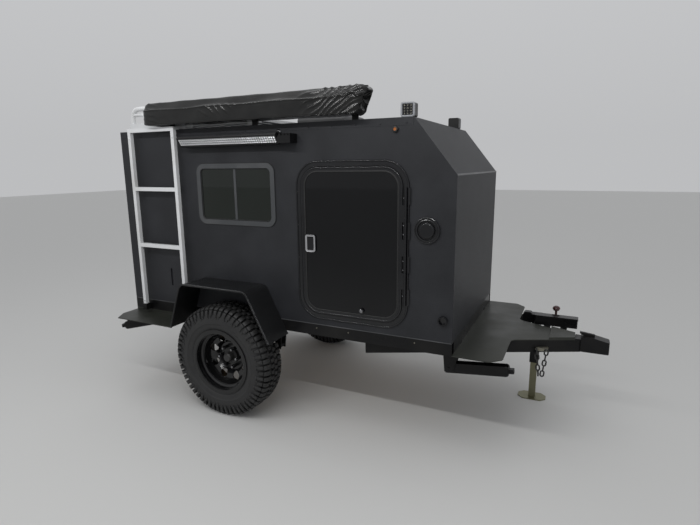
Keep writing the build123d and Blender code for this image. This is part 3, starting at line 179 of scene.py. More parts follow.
def tree_with(name, sockets):
    """An empty repeating tree with named inputs, and the sockets that give them."""
    tree = bpy.data.node_groups.new(name, "GeometryNodeTree")
    for label, kind in (("Geometry", "Geometry"), *sockets):
        tree.interface.new_socket(label, in_out="INPUT", socket_type="NodeSocket" + kind)
    tree.interface.new_socket("Geometry", in_out="OUTPUT", socket_type="NodeSocketGeometry")
    return tree, tree.nodes.new("NodeGroupInput").outputs


def close_tree(tree, given, places, turn, keep_host=False):
    """Sets the pattern on the places, makes it real mesh and gives it its finish."""
    pattern = node_in(tree, "GeometryNodeObjectInfo", {"Object": given["Pattern"]},
                      transform_space="ORIGINAL")
    instances = node_in(tree, "GeometryNodeInstanceOnPoints", {
        "Points": places, "Instance": pattern.outputs["Geometry"], "Rotation": turn})
    real = node_in(tree, "GeometryNodeRealizeInstances", {"Geometry": instances.outputs["Instances"]})
    whole = real
    if keep_host:
        whole = node_in(tree, "GeometryNodeJoinGeometry", {"Geometry": given["Geometry"]})
        feed(whole, {"Geometry": real.outputs["Geometry"]})
    finish = node_in(tree, "GeometryNodeSetMaterial", {
        "Geometry": whole.outputs["Geometry"], "Material": given["Finish"]})
    node_in(tree, "NodeGroupOutput", {"Geometry": finish.outputs["Geometry"]})


def rotation_about(tree, axis, angle):
    """A rotation about one axis."""
    vector = node_in(tree, "ShaderNodeCombineXYZ", {axis: angle}).outputs["Vector"]
    return node_in(tree, "FunctionNodeEulerToRotation", {"Euler": vector}).outputs["Rotation"]


def add_object(name, data):
    """A new object in the scene."""
    item = bpy.data.objects.new(name, data)
    bpy.context.collection.objects.link(item)
    return item


def pattern_object(name, shells, bevel=0.0):
    """A pattern piece for a tree, its edges eased."""
    pattern = add_object(name, solid(name, shells))
    patterns.append(pattern)
    if bevel:
        ease = pattern.modifiers.new("eased", "BEVEL")
        ease.width = bevel
        ease.segments = 2
        ease.angle_limit = math.radians(32)
        pattern.data = bpy.data.meshes.new_from_object(
            pattern.evaluated_get(bpy.context.evaluated_depsgraph_get()))
        pattern.modifiers.clear()
    return pattern


def piece_of(name, body, mesh, finish, sharp=40):
    """A finished mesh as a piece on a body, smooth but for its corners."""
    mesh.materials.clear()
    mesh.materials.append(finish)
    mesh.polygons.foreach_set("material_index", [0] * len(mesh.polygons))
    mesh.polygons.foreach_set("use_smooth", [True] * len(mesh.polygons))
    mesh.set_sharp_from_angle(angle=math.radians(sharp))
    piece = add_object(name, mesh)
    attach(piece, body)
    return piece


def made(name, body, shells, finish, sharp=40):
    """A piece of closed shells."""
    return piece_of(name, body, solid(name, shells), finish, sharp)


def grown(name, body, host_mesh, tree, settings, sharp=40):
    """Runs a tree on a host mesh and keeps the result as one plain piece that rides on a body."""
    host = add_object(name + "_host", host_mesh)
    modifier = host.modifiers.new("repeats", "NODES")
    modifier.node_group = tree
    for item in tree.interface.items_tree:
        if item.item_type == "SOCKET" and item.in_out == "INPUT" and item.name in settings:
            modifier[item.identifier] = settings[item.name]
    mesh = bpy.data.meshes.new_from_object(host.evaluated_get(bpy.context.evaluated_depsgraph_get()))
    bpy.data.objects.remove(host)
    return piece_of(name, body, mesh, settings["Finish"], sharp)


def run_host(runs):
    """A host of open runs of points."""
    points = [point for run in runs for point in run]
    edges, start = [], 0
    for run in runs:
        edges += [(start + i, start + i + 1) for i in range(len(run) - 1)]
        start += len(run)
    mesh = bpy.data.meshes.new("runs")
    mesh.from_pydata(points, edges, [])
    return mesh


patterns = []

# A tree that sets a pattern along the host's edges, each one twisted from the last.
along_run, given = tree_with("along_a_run", (
    ("Pattern", "Object"), ("Pitch", "Float"), ("Twist", "Float"), ("Finish", "Material")))
curve = node_in(along_run, "GeometryNodeMeshToCurve", {"Mesh": given["Geometry"]})
spaced = node_in(along_run, "GeometryNodeCurveToPoints", {
    "Curve": curve.outputs["Curve"], "Length": given["Pitch"]}, mode="LENGTH")
order = node_in(along_run, "GeometryNodeInputIndex")
angle = combined(along_run, "MULTIPLY", order.outputs["Index"], given["Twist"])
twist = rotation_about(along_run, "Z", angle)
turn = node_in(along_run, "FunctionNodeRotateRotation", {
    "Rotation": spaced.outputs["Rotation"], "Rotate By": twist}, rotation_space="LOCAL")
close_tree(along_run, given, spaced.outputs["Points"], turn.outputs["Rotation"])

rail_low, rail_top = 0.585, 0.660
rail_y, rear_x, front_x = 0.6095, -1.603, 0.835
tube_width, weld_rise, weld_start = 0.05, 0.0005, 0.004
tongue_joint = (0.402, 0.345)
ripple = pattern_object("ripple", [turned(
    [(0.0004, -0.0014), (0.0034, -0.0012), (0.0042, 0), (0.0034, 0.0012), (0.0004, 0.0014)], 8)])
weld_runs = []
for side in (-1, 1):
    inside = side * (rail_y - tube_width - weld_rise)
    for x in (rear_x + tube_width + 0.002, front_x - tube_width - 0.002):
        weld_runs.append([(x, inside, rail_low + weld_start), (x, inside, rail_top - weld_start)])
    for start, end in ((rear_x + weld_start, rear_x + tube_width),
                       (front_x - tube_width, front_x - weld_start)):
        weld_runs.append([(start, inside, rail_low - weld_rise), (end, inside, rail_low - weld_rise)])
    weld_runs.append([(front_x + 0.0008, side * y, rail_low + 0.002) for y in tongue_joint])
grown("frame_welds", "trailer", run_host(weld_runs), along_run,
      {"Pattern": ripple, "Pitch": 0.0024, "Twist": 0.0, "Finish": chassis_paint})

# Front deck, tongue pan and side steps.
# Folded steel sheet with a smooth satin grey-green paint, scuffed where feet go.

deck_paint = painted_steel("deck_paint", (0.021, 0.023, 0.0185), (0.032, 0.033, 0.027),
                           0.36, 0.52, 0.12, 0.35)
finish_nodes(deck_paint, "deck_plates", "side_steps")

# Side walls, front wall, chamfer, roof and hatch.
# Flat panels rolled with a coarse matt black bed-liner coat. A folded angle is screwed over the roof
# edges under the same coat, a folded strip closes the walls' lower ends, and the front sheet laps over
# the chamfer at its fold. The strip and the lap are painted pale, a painted highlight along their edges.


def bed_liner(name, colour, speck_colour, grain, relief, rough_low, rough_high):
    """Rolled bed-liner: millimetre grains over soft waves, matt with faint glints."""
    material, tree, shader = new_finish(name)
    grains = object_noise(tree, grain, 4, 0.7)
    tone = combined(tree, "MULTIPLY", object_noise(tree, 3.5, 5, 0.6), grains)
    feed(shader, {
        "Base Color": colour_between(tree, ramp_between(tree, tone, 0.15, 0.42), colour, speck_colour),
        "Roughness": ramp_between(tree, grains, 0.35, 0.65, rough_low, rough_high),
        "Specular IOR Level": 0.34, "Normal": bumped(tree, grains, 0.8, relief).outputs["Normal"]})
    return material


def spot_host(spots):
    """A host of points, each with the direction that its pattern's top faces, or with its whole turn."""
    mesh = bpy.data.meshes.new("spots")
    mesh.from_pydata([place for place, facing in spots], [], [])
    angles = []
    for place, facing in spots:
        turn = facing if isinstance(facing, Matrix) else Vector(facing).to_track_quat("Z", "Y")
        angles += list(turn.to_euler())
    mesh.attributes.new("turn", "FLOAT_VECTOR", "POINT").data.foreach_set("vector", angles)
    return mesh


def fasteners(name, body, pattern, spots, finish):
    """A pattern set on spots of a body, as one piece."""
    return grown(name, body, spot_host(spots), at_spots, {"Pattern": pattern, "Finish": finish})


def pan_screw(diameter, dome):
    """Pan-head screw with a recess, standing on the XY plane."""
    r = diameter / 2
    return [turned([(r * 0.5, -0.001), (r, 0), (r * 0.97, dome * 0.5), (r * 0.75, dome * 0.9),
                    (r * 0.3, dome), (r * 0.22, dome * 0.45), (r * 0.02, dome * 0.4)], 14)]


# A tree that sets a pattern on each point of the host, turned as the point says.
at_spots, given = tree_with("at_spots", (("Pattern", "Object"), ("Finish", "Material")))
turn = node_in(at_spots, "GeometryNodeInputNamedAttribute", {"Name": "turn"}, data_type="FLOAT_VECTOR")
rotation = node_in(at_spots, "FunctionNodeEulerToRotation", {"Euler": turn.outputs["Attribute"]})
close_tree(at_spots, given, given["Geometry"], rotation.outputs["Rotation"])

liner = bed_liner("bed_liner", (0.0122, 0.0130, 0.0156), (0.0270, 0.0283, 0.0325), 300, 0.0020, 0.42, 0.62)
finish_nodes(liner, "side_wall_right", "side_wall_left", "front_wall", "chamfer_panel", "roof", "hatch")
roof_z, chamfer_x = 1.878, 0.598
angle_leg, angle_sheet = 0.040, 0.0015
outer_y, inner_y = rail_y + angle_sheet, rail_y - angle_leg / 2
angle_line = [(rail_y, roof_z - angle_leg), (outer_y, roof_z - angle_leg), (outer_y, roof_z + angle_sheet),
              (inner_y, roof_z + angle_sheet), (inner_y, roof_z), (rail_y, roof_z)]
made("roof_edge_angles", "trailer", [
    lofted([[(x, side * y, z) for y, z in angle_line] for x in (rear_x + 0.002, chamfer_x - 0.004)])
    for side in (-1, 1)], liner)
screw = pattern_object("screw", pan_screw(0.009, 0.003))
first_screw, screw_pitch, screw_drop = rear_x + 0.06, 0.15, 0.028
fasteners("roof_edge_screws", "trailer", screw, [
    ((first_screw + i * screw_pitch, side * outer_y, roof_z - screw_drop), (0, side, 0))
    for side in (-1, 1) for i in range(15)], liner)

# Pale paint on the wall-end strips and the fold lap: a painted highlight along their edges.
edge_painted_highlight = painted_steel("edge_painted_highlight", (0.055, 0.057, 0.060), (0.11, 0.11, 0.115), 0.3, 0.45, 0.1)
zinc = painted_steel("zinc_plate", (0.23, 0.22, 0.18), (0.3, 0.28, 0.22), 0.32, 0.5, 0.1, metal=0.85)
strip_line = [(-0.0005, 0.6565), (0.0016, 0.6568), (0.0020, 0.6590), (0.0016, 0.6612), (-0.0005, 0.6615)]
strip_ends = (rear_x + 0.004, front_x - 0.002)
made("wall_edge_strips", "trailer", [
    lofted([[(x, side * (rail_y + out), z) for out, z in strip_line] for x in strip_ends])
    for side in (-1, 1)], edge_painted_highlight)
rail_screw_z = 0.633
fasteners("rail_screws", "trailer", screw, [
    ((x, side * rail_y, rail_screw_z), (0, side, 0)) for side in (-1, 1) for x in (-0.02, 0.20, 0.62)], zinc)

fold_z, lap_end = 1.578, rail_y - 0.001
lap_line = [(-0.0035, 0.0052), (-0.0010, 0.0062), (0.0012, 0.0004), (0.0010, -0.0040), (-0.0008, -0.0040)]
made("front_fold_lap", "trailer", [lofted([
    [(front_x + x, y, fold_z + z) for x, z in lap_line] for y in (-lap_end, lap_end)])], edge_painted_highlight)

# Fenders.
# Folded sheet with a round lip along the outer edge, bolted to the side wall through a flange. The coat
# is thick, and its grains stand out on the lip, where their pale colour is a painted highlight.

fender_coat = bed_liner("fender_coat", (0.0045, 0.0047, 0.0052), (0.0140, 0.0145, 0.0155),
                        190, 0.0045, 0.24, 0.46)
finish_nodes(fender_coat, "fenders")
head, tall, washer = 0.0065, 0.007, 0.0015
small_bolt = pattern_object("small_bolt", [
    turned([(head * 0.6, washer * 0.6), (head, washer * 0.6), (head, tall), (head * 0.86, tall + head * 0.14),
            (head * 0.3, tall + head * 0.16)], 6),
    turned([(head * 0.5, 0), (head * 1.45, 0), (head * 1.45, washer), (head * 0.5, washer),
            (head * 0.5, 0)], 20)], 0.0005)
bolt_y, bolt_z = rail_y + 0.0008, 0.855
fasteners("fender_bolts", "trailer", small_bolt, [
    ((x, side * bolt_y, bolt_z), (0, side, 0)) for side in (-1, 1) for x in (-0.86, -0.70, -0.54, -0.44)],
    fender_coat)

coat_grain = pattern_object("coat_grain", [
    turned([(0.0011, -0.0005), (0.0009, 0.0003), (0.0003, 0.0006)], 5)])
# Pale grains along the lip: a painted highlight on the fender's rounded edge.
lip_painted_highlight = bed_liner("coat_painted_highlights", (0.19, 0.195, 0.20), (0.40, 0.40, 0.41), 190, 0.002, 0.18, 0.34)
grain_count, step_along, step_round = 1500, 0.6180339887, 0.7548776662
lip_y, lip_round, lip_start, lip_sweep = 0.830, 0.0063, 27, 118
lip_line = [Vector((x, 0, z)) for x, z in (
    (-1.035, 0.562), (-0.9395, 0.8313), (-0.9085, 0.8650), (-0.879, 0.875), (-0.425, 0.875), (-0.394, 0.863),
    (-0.376, 0.8349), (-0.237, 0.562))]
spans = [(b - a).length for a, b in zip(lip_line, lip_line[1:])]
sides = (("right", -1), ("left", 1))
for name, side in sides:
    grains = []
    for i in range(grain_count):
        along = (i * step_along % 1.0) * sum(spans)
        k = 0
        while along > spans[k]:
            along -= spans[k]
            k += 1
        run = (lip_line[k + 1] - lip_line[k]).normalized()
        upward = Vector((-run.z, 0, run.x))
        a = math.radians(lip_start + lip_sweep * (i * step_round % 1.0))
        facing = Vector((0, side, 0)) * math.cos(a) + upward * math.sin(a)
        grains.append((tuple(lip_line[k] + run * along + Vector((0, side * lip_y, 0)) + facing * lip_round),
                       tuple(facing)))
    fasteners("lip_grains_" + name, "trailer", coat_grain, grains, lip_painted_highlight)

# Cabin floor and galley.
# Clear-coated birch plywood, its grain along the trailer.

plywood, tree, shader = new_finish("clear_coated_plywood")
grain = object_noise(tree, 9, 6, 0.6, (0.6, 9, 9))
feed(shader, {"Base Color": colour_between(tree, grain, (0.36, 0.22, 0.11), (0.62, 0.44, 0.26)),
              "Roughness": 0.42, "Coat Weight": 0.3,
              "Normal": bumped(tree, grain, 0.15, 0.0008).outputs["Normal"]})
finish_nodes(plywood, "floor", "galley")

# Tyres.
# Moulded rubber on a smooth carcass, with long and short shoulder lugs that run down the sidewall and
# two rows of blocks on the crown, dry and slightly dusty.

rubber, tree, shader = new_finish("tyre_rubber")
dust = object_noise(tree, 16, 5, 0.6)
feed(shader, {
    "Base Color": colour_between(tree, ramp_between(tree, dust, 0.35, 0.75), (0.011, 0.011, 0.0115),
                                 (0.026, 0.026, 0.026)),
    "Roughness": ramp_between(tree, dust, 0.3, 0.7, 0.5, 0.72),
    "Normal": bumped(tree, object_noise(tree, 600, 2), 0.2, 0.0005).outputs["Normal"]})

tyre_radius, crown_radius = 0.375, 0.3605
pitches = 29
pitch = 2 * math.pi * tyre_radius / pitches


def around_axle(along, y, radius):
    """A point a distance along the crown from the tyre's top, with the axle as origin."""
    turn = along / tyre_radius
    return (radius * math.sin(turn), y, radius * math.cos(turn))


def crown_block(corners):
    """A tread block from its (along, y) corners, drafted towards its top."""
    middle = [sum(c[k] for c in corners) / len(corners) for k in (0, 1)]
    foot = [around_axle(a * 1.06 - middle[0] * 0.06, y * 1.06 - middle[1] * 0.06, crown_radius - 0.003)
            for a, y in corners]
    top = [around_axle(a, y, tyre_radius - 0.00024 * (y / 0.03) ** 2) for a, y in corners]
    return lofted([foot, top])


def shoulder_lug(along, side, outer, width, taper):
    """A lug that follows (y, radius) stations down the shoulder or the sidewall."""
    rings = []
    for k, (y, r) in enumerate(outer):
        half = width / 2 * (1 - taper * k / (len(outer) - 1))
        in_y, in_r = (0, -0.017) if r > 0.362 else (-0.013, -0.006) if r < 0.351 else (-0.012, -0.012)
        rings.append([around_axle(along - half * 1.1, side * (y + in_y), r + in_r),
                      around_axle(along - half, side * y, r), around_axle(along + half, side * y, r),
                      around_axle(along + half * 1.1, side * (y + in_y), r + in_r)])
    return lofted(rings)


def sidewall_hook(start, end, side, low, high, lift):
    """A flat raised foot on the sidewall, at the end of a lug."""
    rings = []
    wall_y, face_y = 0.098, 0.103 + lift
    for r, ease in ((low, 0.8), (high, 1.0)):
        middle, half = (start + end) / 2, (end - start) / 2 * ease
        rings.append([around_axle(along, side * y, r) for along, y in (
            (middle - half, wall_y), (middle - half, face_y), (middle + half, face_y),
            (middle + half, wall_y))])
    return lofted(rings)


lug_shells = []
for side, start in ((-1, 0.0), (1, 0.020)):
    for shift, inner_y, tip in ((0, 0.037, 0.3090), (pitch / 2, 0.046, 0.3200)):
        a = start + shift
        lug_shells.append(shoulder_lug(a, side, [
            (inner_y, 0.3748), (0.062, 0.3745), (0.077, 0.3718), (0.0875, 0.3655), (0.0930, 0.3580)],
            0.0275, 0.05))
        lug_shells.append(shoulder_lug(a - 0.002, side, [
            (0.0960, 0.3530), (0.1005, 0.3420), (0.1030, 0.3280), (0.1036, tip)], 0.0240, 0.30))
    lug_shells.append(sidewall_hook(start - 0.0130, start + 0.0150, side, 0.296, 0.3075, 0.0006))
    lug_shells.append(sidewall_hook(start + pitch / 2 - 0.0180, start + pitch / 2 - 0.0040, side,
                                    0.302, 0.3160, 0.0004))
for side, start in ((-1, 0.010), (1, 0.029)):
    for k in (0, 1):
        a = start + k * pitch / 2
        lug_shells.append(crown_block([(a + along, side * y) for along, y in (
            (-0.014, 0.004), (0.009, 0.003), (0.015, 0.015), (0.010, 0.031), (-0.008, 0.033),
            (-0.011, 0.018))]))
tread_pitch = pattern_object("tread_pitch", lug_shells, 0.0009)

wheel_tree, given = tree_with("round_the_axle", (
    ("Pattern", "Object"), ("Count", "Int"), ("Axle", "Vector"), ("Finish", "Material")))
hub_points = node_in(wheel_tree, "GeometryNodePoints", {"Count": given["Count"], "Position": given["Axle"]})
order = node_in(wheel_tree, "GeometryNodeInputIndex")
share = combined(wheel_tree, "DIVIDE", order.outputs["Index"], given["Count"])
spin = rotation_about(wheel_tree, "Y", combined(wheel_tree, "MULTIPLY", share, 2 * math.pi))
close_tree(wheel_tree, given, hub_points.outputs["Points"], spin, keep_host=True)

outer_wall = [(0.0867, 0.2065), (0.0867, 0.2215), (0.0885, 0.2285), (0.0925, 0.2320), (0.0940, 0.2370),
              (0.0952, 0.2440), (0.0978, 0.2540), (0.1004, 0.2630), (0.1016, 0.2640), (0.1022, 0.2665),
              (0.1018, 0.2690), (0.1022, 0.2800), (0.1020, 0.2930), (0.0985, 0.3060), (0.0955, 0.3200),
              (0.0900, 0.3310), (0.0810, 0.3405), (0.0700, 0.3490), (0.0560, 0.3560), (0.0400, 0.3595),
              (0.0150, 0.3605)]
inner_wall = [(0.0350, 0.3440), (0.0700, 0.3330), (0.0880, 0.3000), (0.0720, 0.2300), (0.0707, 0.2065)]
mirrored = [(-y, r) for y, r in reversed(outer_wall)] + [(-y, r) for y, r in reversed(inner_wall)]
carcass_line = [(r, y) for y, r in outer_wall + mirrored + inner_wall + outer_wall[:1]]
wheel_x, wheel_y, axle_z = -0.643, 0.7255, tyre_radius


def facing_out(side):
    """The turn that lays a shell's top outwards on the right (-1) or left (1) side."""
    return Matrix.Rotation(math.radians(-90 * side), 3, "X")


for name, side in sides:
    axle = (wheel_x, side * wheel_y, axle_z)
    carcass = solid("carcass", [placed(turned(carcass_line, 110), facing_out(1), axle)])
    tyre = grown("tread_tyre_" + name, "wheel_" + name, carcass, wheel_tree,
                 {"Pattern": tread_pitch, "Count": pitches, "Axle": axle, "Finish": rubber}, 50)
    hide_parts("tyre_" + name)

# Rims, hubs and wheel nuts.
# Pressed steel discs welded in rolled barrels with gloss black enamel, a grey cap over the bearing and
# six chromed cone nuts.

rim_enamel = painted_steel("rim_enamel", (0.004, 0.004, 0.0045), (0.008, 0.008, 0.0085), 0.09, 0.20, 0.05)
finish_nodes(rim_enamel, "rim_right", "rim_left")
hub_grey = painted_steel("hub_grey", (0.035, 0.035, 0.035), (0.022, 0.021, 0.02), 0.32, 0.48, 0.1)
finish_nodes(hub_grey, "hub_right", "hub_left")
nut_chrome = painted_steel("nut_chrome", (0.26, 0.26, 0.27), (0.16, 0.16, 0.16), 0.10, 0.22, 0.03,
                           metal=1.0)
nut = pattern_object("nut", [
    turned([(0.0122, 0.0), (0.0132, 0.001), (0.0132, 0.016), (0.0118, 0.0185)], 6),
    turned([(0.0112, 0.017), (0.0108, 0.023), (0.0088, 0.0275), (0.0045, 0.0300), (0.0004, 0.0306)], 16)],
    0.0006)
nuts, nut_circle, nut_y = 6, 0.06985, wheel_y - 0.0125
valve_circle, valve_turn, valve_y = 0.160, math.radians(112.5), wheel_y + 0.024
stem = turned([(0.0035, -0.012), (0.0042, 0), (0.0042, 0.022), (0.0034, 0.024), (0.0036, 0.034),
               (0.0005, 0.035)], 12)
beads = [turned([(r, y - 0.0045), (r - drop, y - 0.0030), (r - drop - 0.0012, y), (r - drop, y + 0.0030),
                 (r, y + 0.0045), (r, y - 0.0045)], 96)
         for r, y, drop in ((0.1985, 0.0870, 0.0055), (0.1965, 0.0700, 0.0060), (0.1945, 0.0560, 0.0075),
                            (0.1810, 0.0330, 0.0060))]


def on_circle(x, y, z, radius, a):
    """A point on a circle in the side view."""
    return (x + radius * math.cos(a), y, z + radius * math.sin(a))


for name, side in sides:
    fasteners("wheel_nuts_" + name, "wheel_" + name, nut, [
        (on_circle(wheel_x, side * nut_y, axle_z, nut_circle, 2 * math.pi * i / nuts), (0, side, 0))
        for i in range(nuts)], nut_chrome)
    made("rim_steps_" + name, "wheel_" + name, [
        placed(bead, facing_out(side), (wheel_x, side * wheel_y, axle_z)) for bead in beads], rim_enamel)
    made("valve_stem_" + name, "wheel_" + name, [placed(stem, facing_out(side), on_circle(
        wheel_x, side * valve_y, axle_z, valve_circle, valve_turn))], rubber)

# Doors and their frames.
# Extruded aluminium rings with gloss black powder coat, screwed to the wall, round dark tinted glass
# that sits on a rubber gasket.

door_enamel = painted_steel("door_enamel", (0.0035, 0.0037, 0.0050), (0.0070, 0.0072, 0.0085),
                            0.13, 0.22, 0.04)
finish_nodes(door_enamel, "door_frames", "door_leaf_right", "door_leaf_left", "door_latch_right",
             "door_latch_left", "hatch_hinge", "hatch_handle", "wall_ports")


def rounded_ring(x, z, width, tall, corner, y, section, steps=10):
    """A bead round a rounded rectangle in the side view; its section is (inwards, outwards of the wall)."""
    side = 1 if y > 0 else -1
    rings = []
    for quarter in range(4):
        cx = x + (width / 2 - corner) * (1 if quarter in (0, 3) else -1)
        cz = z + (tall / 2 - corner) * (1 if quarter in (0, 1) else -1)
        for i in range(steps + 1):
            a = math.radians(90 * quarter + 90 * i / steps)
            rings.append([on_circle(cx, y + side * outward, cz, corner - inward, a)
                          for inward, outward in section])
    return hoop(rings)


bright = painted_steel("bright_trim", (0.62, 0.62, 0.64), (0.5, 0.5, 0.51), 0.12, 0.22, 0.03, metal=1.0)
screw_black = painted_steel("black_screws", (0.008, 0.008, 0.008), (0.02, 0.02, 0.02), 0.25, 0.4, 0.05)
hinge_screw = pattern_object("hinge_screw", pan_screw(0.0052, 0.0022))
gasket_rubber = painted_steel("gasket_rubber", (0.009, 0.009, 0.009), (0.016, 0.016, 0.016), 0.5, 0.65, 0.1)
door_x, door_z = 0.220, 1.18
opening, flange_edge = (0.662, 0.907, 0.122), (0.7176, 0.9626, 0.1498)
glass_corner, leaf_corner, leaf_rim = 0.090, 0.112, 0.047
screw_high, screw_apart, screw_rear = 0.4715, 0.13, 0.349
hinge_screws, hinge_out, hinge_low, hinge_pitch = 12, 0.0285, 0.905, 0.05
bead = [(0.0, 0.0), (0.0, 0.0025), (0.002, 0.0040), (0.006, 0.0040), (0.008, 0.0025), (0.008, 0.0)]
ridge = [(0.0, 0.0), (0.0005, 0.0012), (0.0020, 0.0016), (0.0035, 0.0012), (0.0040, 0.0)]
frame_round = [(0.0, -0.003), (0.0002, 0.0016), (0.0012, 0.0034), (0.0030, 0.0046), (0.0055, 0.0050),
               (0.0080, 0.0040), (0.0096, 0.0020), (0.0100, -0.001)]
leaf_round = [(0.0, -0.001), (0.0004, 0.0020), (0.0020, 0.0040), (0.0050, 0.0052), (0.0085, 0.0048),
              (0.0115, 0.0030), (0.0130, -0.001)]
for name, side in sides:
    low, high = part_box("door_glass_" + name)
    width, tall = high[0] - low[0], high[2] - low[2]
    leaf_x, leaf_z = (high[0] + low[0]) / 2, (high[2] + low[2]) / 2
    glass_face = side * max(abs(low[1]), abs(high[1]))
    flange_face = side * (rail_y + 0.005)
    made("door_gasket_" + name, "door_" + name, [
        rounded_ring(leaf_x, leaf_z, width + 0.002, tall + 0.002, glass_corner, glass_face, bead)],
        gasket_rubber)
    made("door_frame_ridge_" + name, "trailer", [
        rounded_ring(door_x, door_z, *opening, flange_face, ridge),
        rounded_ring(door_x, door_z, *flange_edge, flange_face, frame_round, 16)], door_enamel)
    made("door_leaf_ridge_" + name, "door_" + name, [rounded_ring(
        leaf_x, leaf_z, width + leaf_rim, tall + leaf_rim, leaf_corner, glass_face, leaf_round, 14)],
        door_enamel)
    spots = [(x, z) for x in (-screw_apart, screw_apart) for z in (screw_high, -screw_high)]
    spots += [(-screw_rear, z) for z in (-0.30, -0.1, 0.1, 0.30)]
    fasteners("door_frame_screws_" + name, "trailer", screw, [
        ((door_x + x, flange_face, door_z + z), (0, side, 0)) for x, z in spots], screw_black)
    hinge_x = leaf_x + width / 2 + hinge_out
    fasteners("hinge_screws_" + name, "door_" + name, hinge_screw, [
        ((hinge_x, glass_face, hinge_low + hinge_pitch * i), (0, side, 0))
        for i in range(hinge_screws)], bright)

door_pane, tree, shader = new_finish("door_pane")
feed(shader, {
    "Base Color": colour_between(tree, object_noise(tree, 2.2, 3), (0.0022, 0.0023, 0.0027),
                                 (0.0050, 0.0052, 0.0060)),
    "Roughness": 0.045, "IOR": 1.52, "Specular IOR Level": 0.3,
    "Normal": bumped(tree, object_noise(tree, 3.5, 2), 0.04, 0.002).outputs["Normal"]})
finish_nodes(door_pane, "door_glass_right", "door_glass_left")

# Door latches.
# Die-cast paddle in a dished pan with a bright chromed edge, and a keyed lock barrel below it near the
# hinge side.

latch_x, latch_z = door_x - 0.261, 1.172
pan_edge, pan_depth = (0.069, 0.107, 0.0155), 0.003
lock_x, lock_z = door_x + 0.074, 0.786
pan_line = [(0.0, 0.0), (0.0, 0.0014), (0.0010, 0.0026), (0.0030, 0.0026), (0.0045, 0.0010),
            (0.0125, 0.0006), (0.0125, 0.0)]
barrel = turned([(0.0105, -0.001), (0.0105, 0.0018), (0.0090, 0.0028), (0.0088, 0.0014),
                 (0.0010, 0.0012)], 22)
for name, side in sides:
    low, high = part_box("door_latch_" + name)
    face = side * max(abs(low[1]), abs(high[1]))
    made("latch_pan_" + name, "door_" + name, [
        rounded_ring(latch_x, latch_z, *pan_edge, face - side * pan_depth, pan_line, 6)], bright)
    made("lock_face_" + name, "door_" + name, [
        placed(barrel, facing_out(side), (lock_x, face, lock_z))], nut_chrome)

# Side windows.
# Grey anodised frames, screwed through the wall, with two sliding tinted panes that are held in
# black rubber.

window_metal = painted_steel("window_metal", (0.050, 0.053, 0.057), (0.075, 0.077, 0.08), 0.3, 0.42, 0.05)
finish_nodes(window_metal, "window_frames")
window_pane, tree, shader = new_finish("window_pane")
feed(shader, {
    "Base Color": colour_between(tree, object_noise(tree, 3, 2), (0.0060, 0.0085, 0.0065),
                                 (0.0120, 0.0150, 0.0120)),
    "Roughness": 0.02, "Specular IOR Level": 0.4,
    "Normal": bumped(tree, object_noise(tree, 4, 2), 0.03, 0.002).outputs["Normal"]})
finish_nodes(window_pane, "window_glass")
window_x, window_z = door_x - 0.822, 1.454
pane_edge, frame_edge, pane_depth = (0.5555, 0.3325, 0.028), (0.624, 0.401, 0.063), 0.004
pane_gasket = [(0.0, 0.0), (0.0, 0.0030), (0.0025, 0.0045), (0.0050, 0.0030), (0.0050, 0.0)]
frame_gasket = [(0, 0), (0, 0.0022), (0.004, 0.0022), (0.004, 0)]
gaskets = []
for side in (-1, 1):
    gaskets.append(rounded_ring(window_x, window_z, *pane_edge, side * (rail_y - pane_depth), pane_gasket, 6))
    gaskets.append(rounded_ring(window_x, window_z, *frame_edge, side * rail_y, frame_gasket, 8))
made("window_gaskets", "trailer", gaskets, gasket_rubber)

# Round wall vents and power inlet.
# Moulded black plastic rings; short fins stand round the vent's dome, and a hood covers the inlet.

port_x, port_z = front_x - 0.154, 1.283
fins, fin_circle, fin_y = 36, 0.0495, rail_y + 0.004
fin = pattern_object("fin", [lofted([
    [(-half, -inner, z), (half, -outer, z), (half, outer, z), (-half, inner, z)]
    for half, inner, outer, z in ((0.009, 0.0013, 0.0019, -0.002), (0.008, 0.0008, 0.0012, 0.0042))])])
for name, side in sides:
    spots = []
    for i in range(fins):
        a = 2 * math.pi * i / fins
        spots.append((on_circle(port_x, side * fin_y, port_z, fin_circle, a),
                      Matrix.Rotation(-a, 3, "Y") @ facing_out(side)))
    fasteners("vent_fins_" + name, "trailer", fin, spots, door_enamel)
    rings = []
    for r, lift, base in ((0.0708, 0.0036, 0.009), (0.0590, 0.0030, 0.0088), (0.0425, 0.0028, 0.0140)):
        ring = turned([(r, 0), (r + 0.0006, lift * 0.6), (r - 0.0022, lift), (r - 0.0050, lift * 0.7),
                       (r - 0.0060, 0), (r, 0)], 72)
        rings.append(placed(ring, facing_out(side), (port_x, side * (rail_y + base), port_z)))
    made("vent_rings_" + name, "trailer", rings, door_enamel)
inlet_x, inlet_z = front_x - 0.053, 0.787
socket_ring = turned([(0.0262, 0), (0.0266, 0.010), (0.0240, 0.0135), (0.0205, 0.0135), (0.0185, 0.004),
                      (0.0170, 0.001), (0.0170, 0), (0.0262, 0)], 48)
hood_line = ((0.0265, 0.006), (0.0285, 0.020), (0.0262, 0.0205), (0.0245, 0.007))
hood = lofted([[on_circle(inlet_x, -rail_y - out, inlet_z, r, math.radians(-35 + 10 * i))
                for r, out in hood_line] for i in range(13)])
made("inlet_hood", "trailer", [
    placed(socket_ring, facing_out(-1), (inlet_x, -rail_y - 0.0075, inlet_z)), hood], door_enamel)

# Tail lamps and amber markers.
# Moulded coloured plastic lenses, ribbed inside, the round markers pushed into rubber grommets.


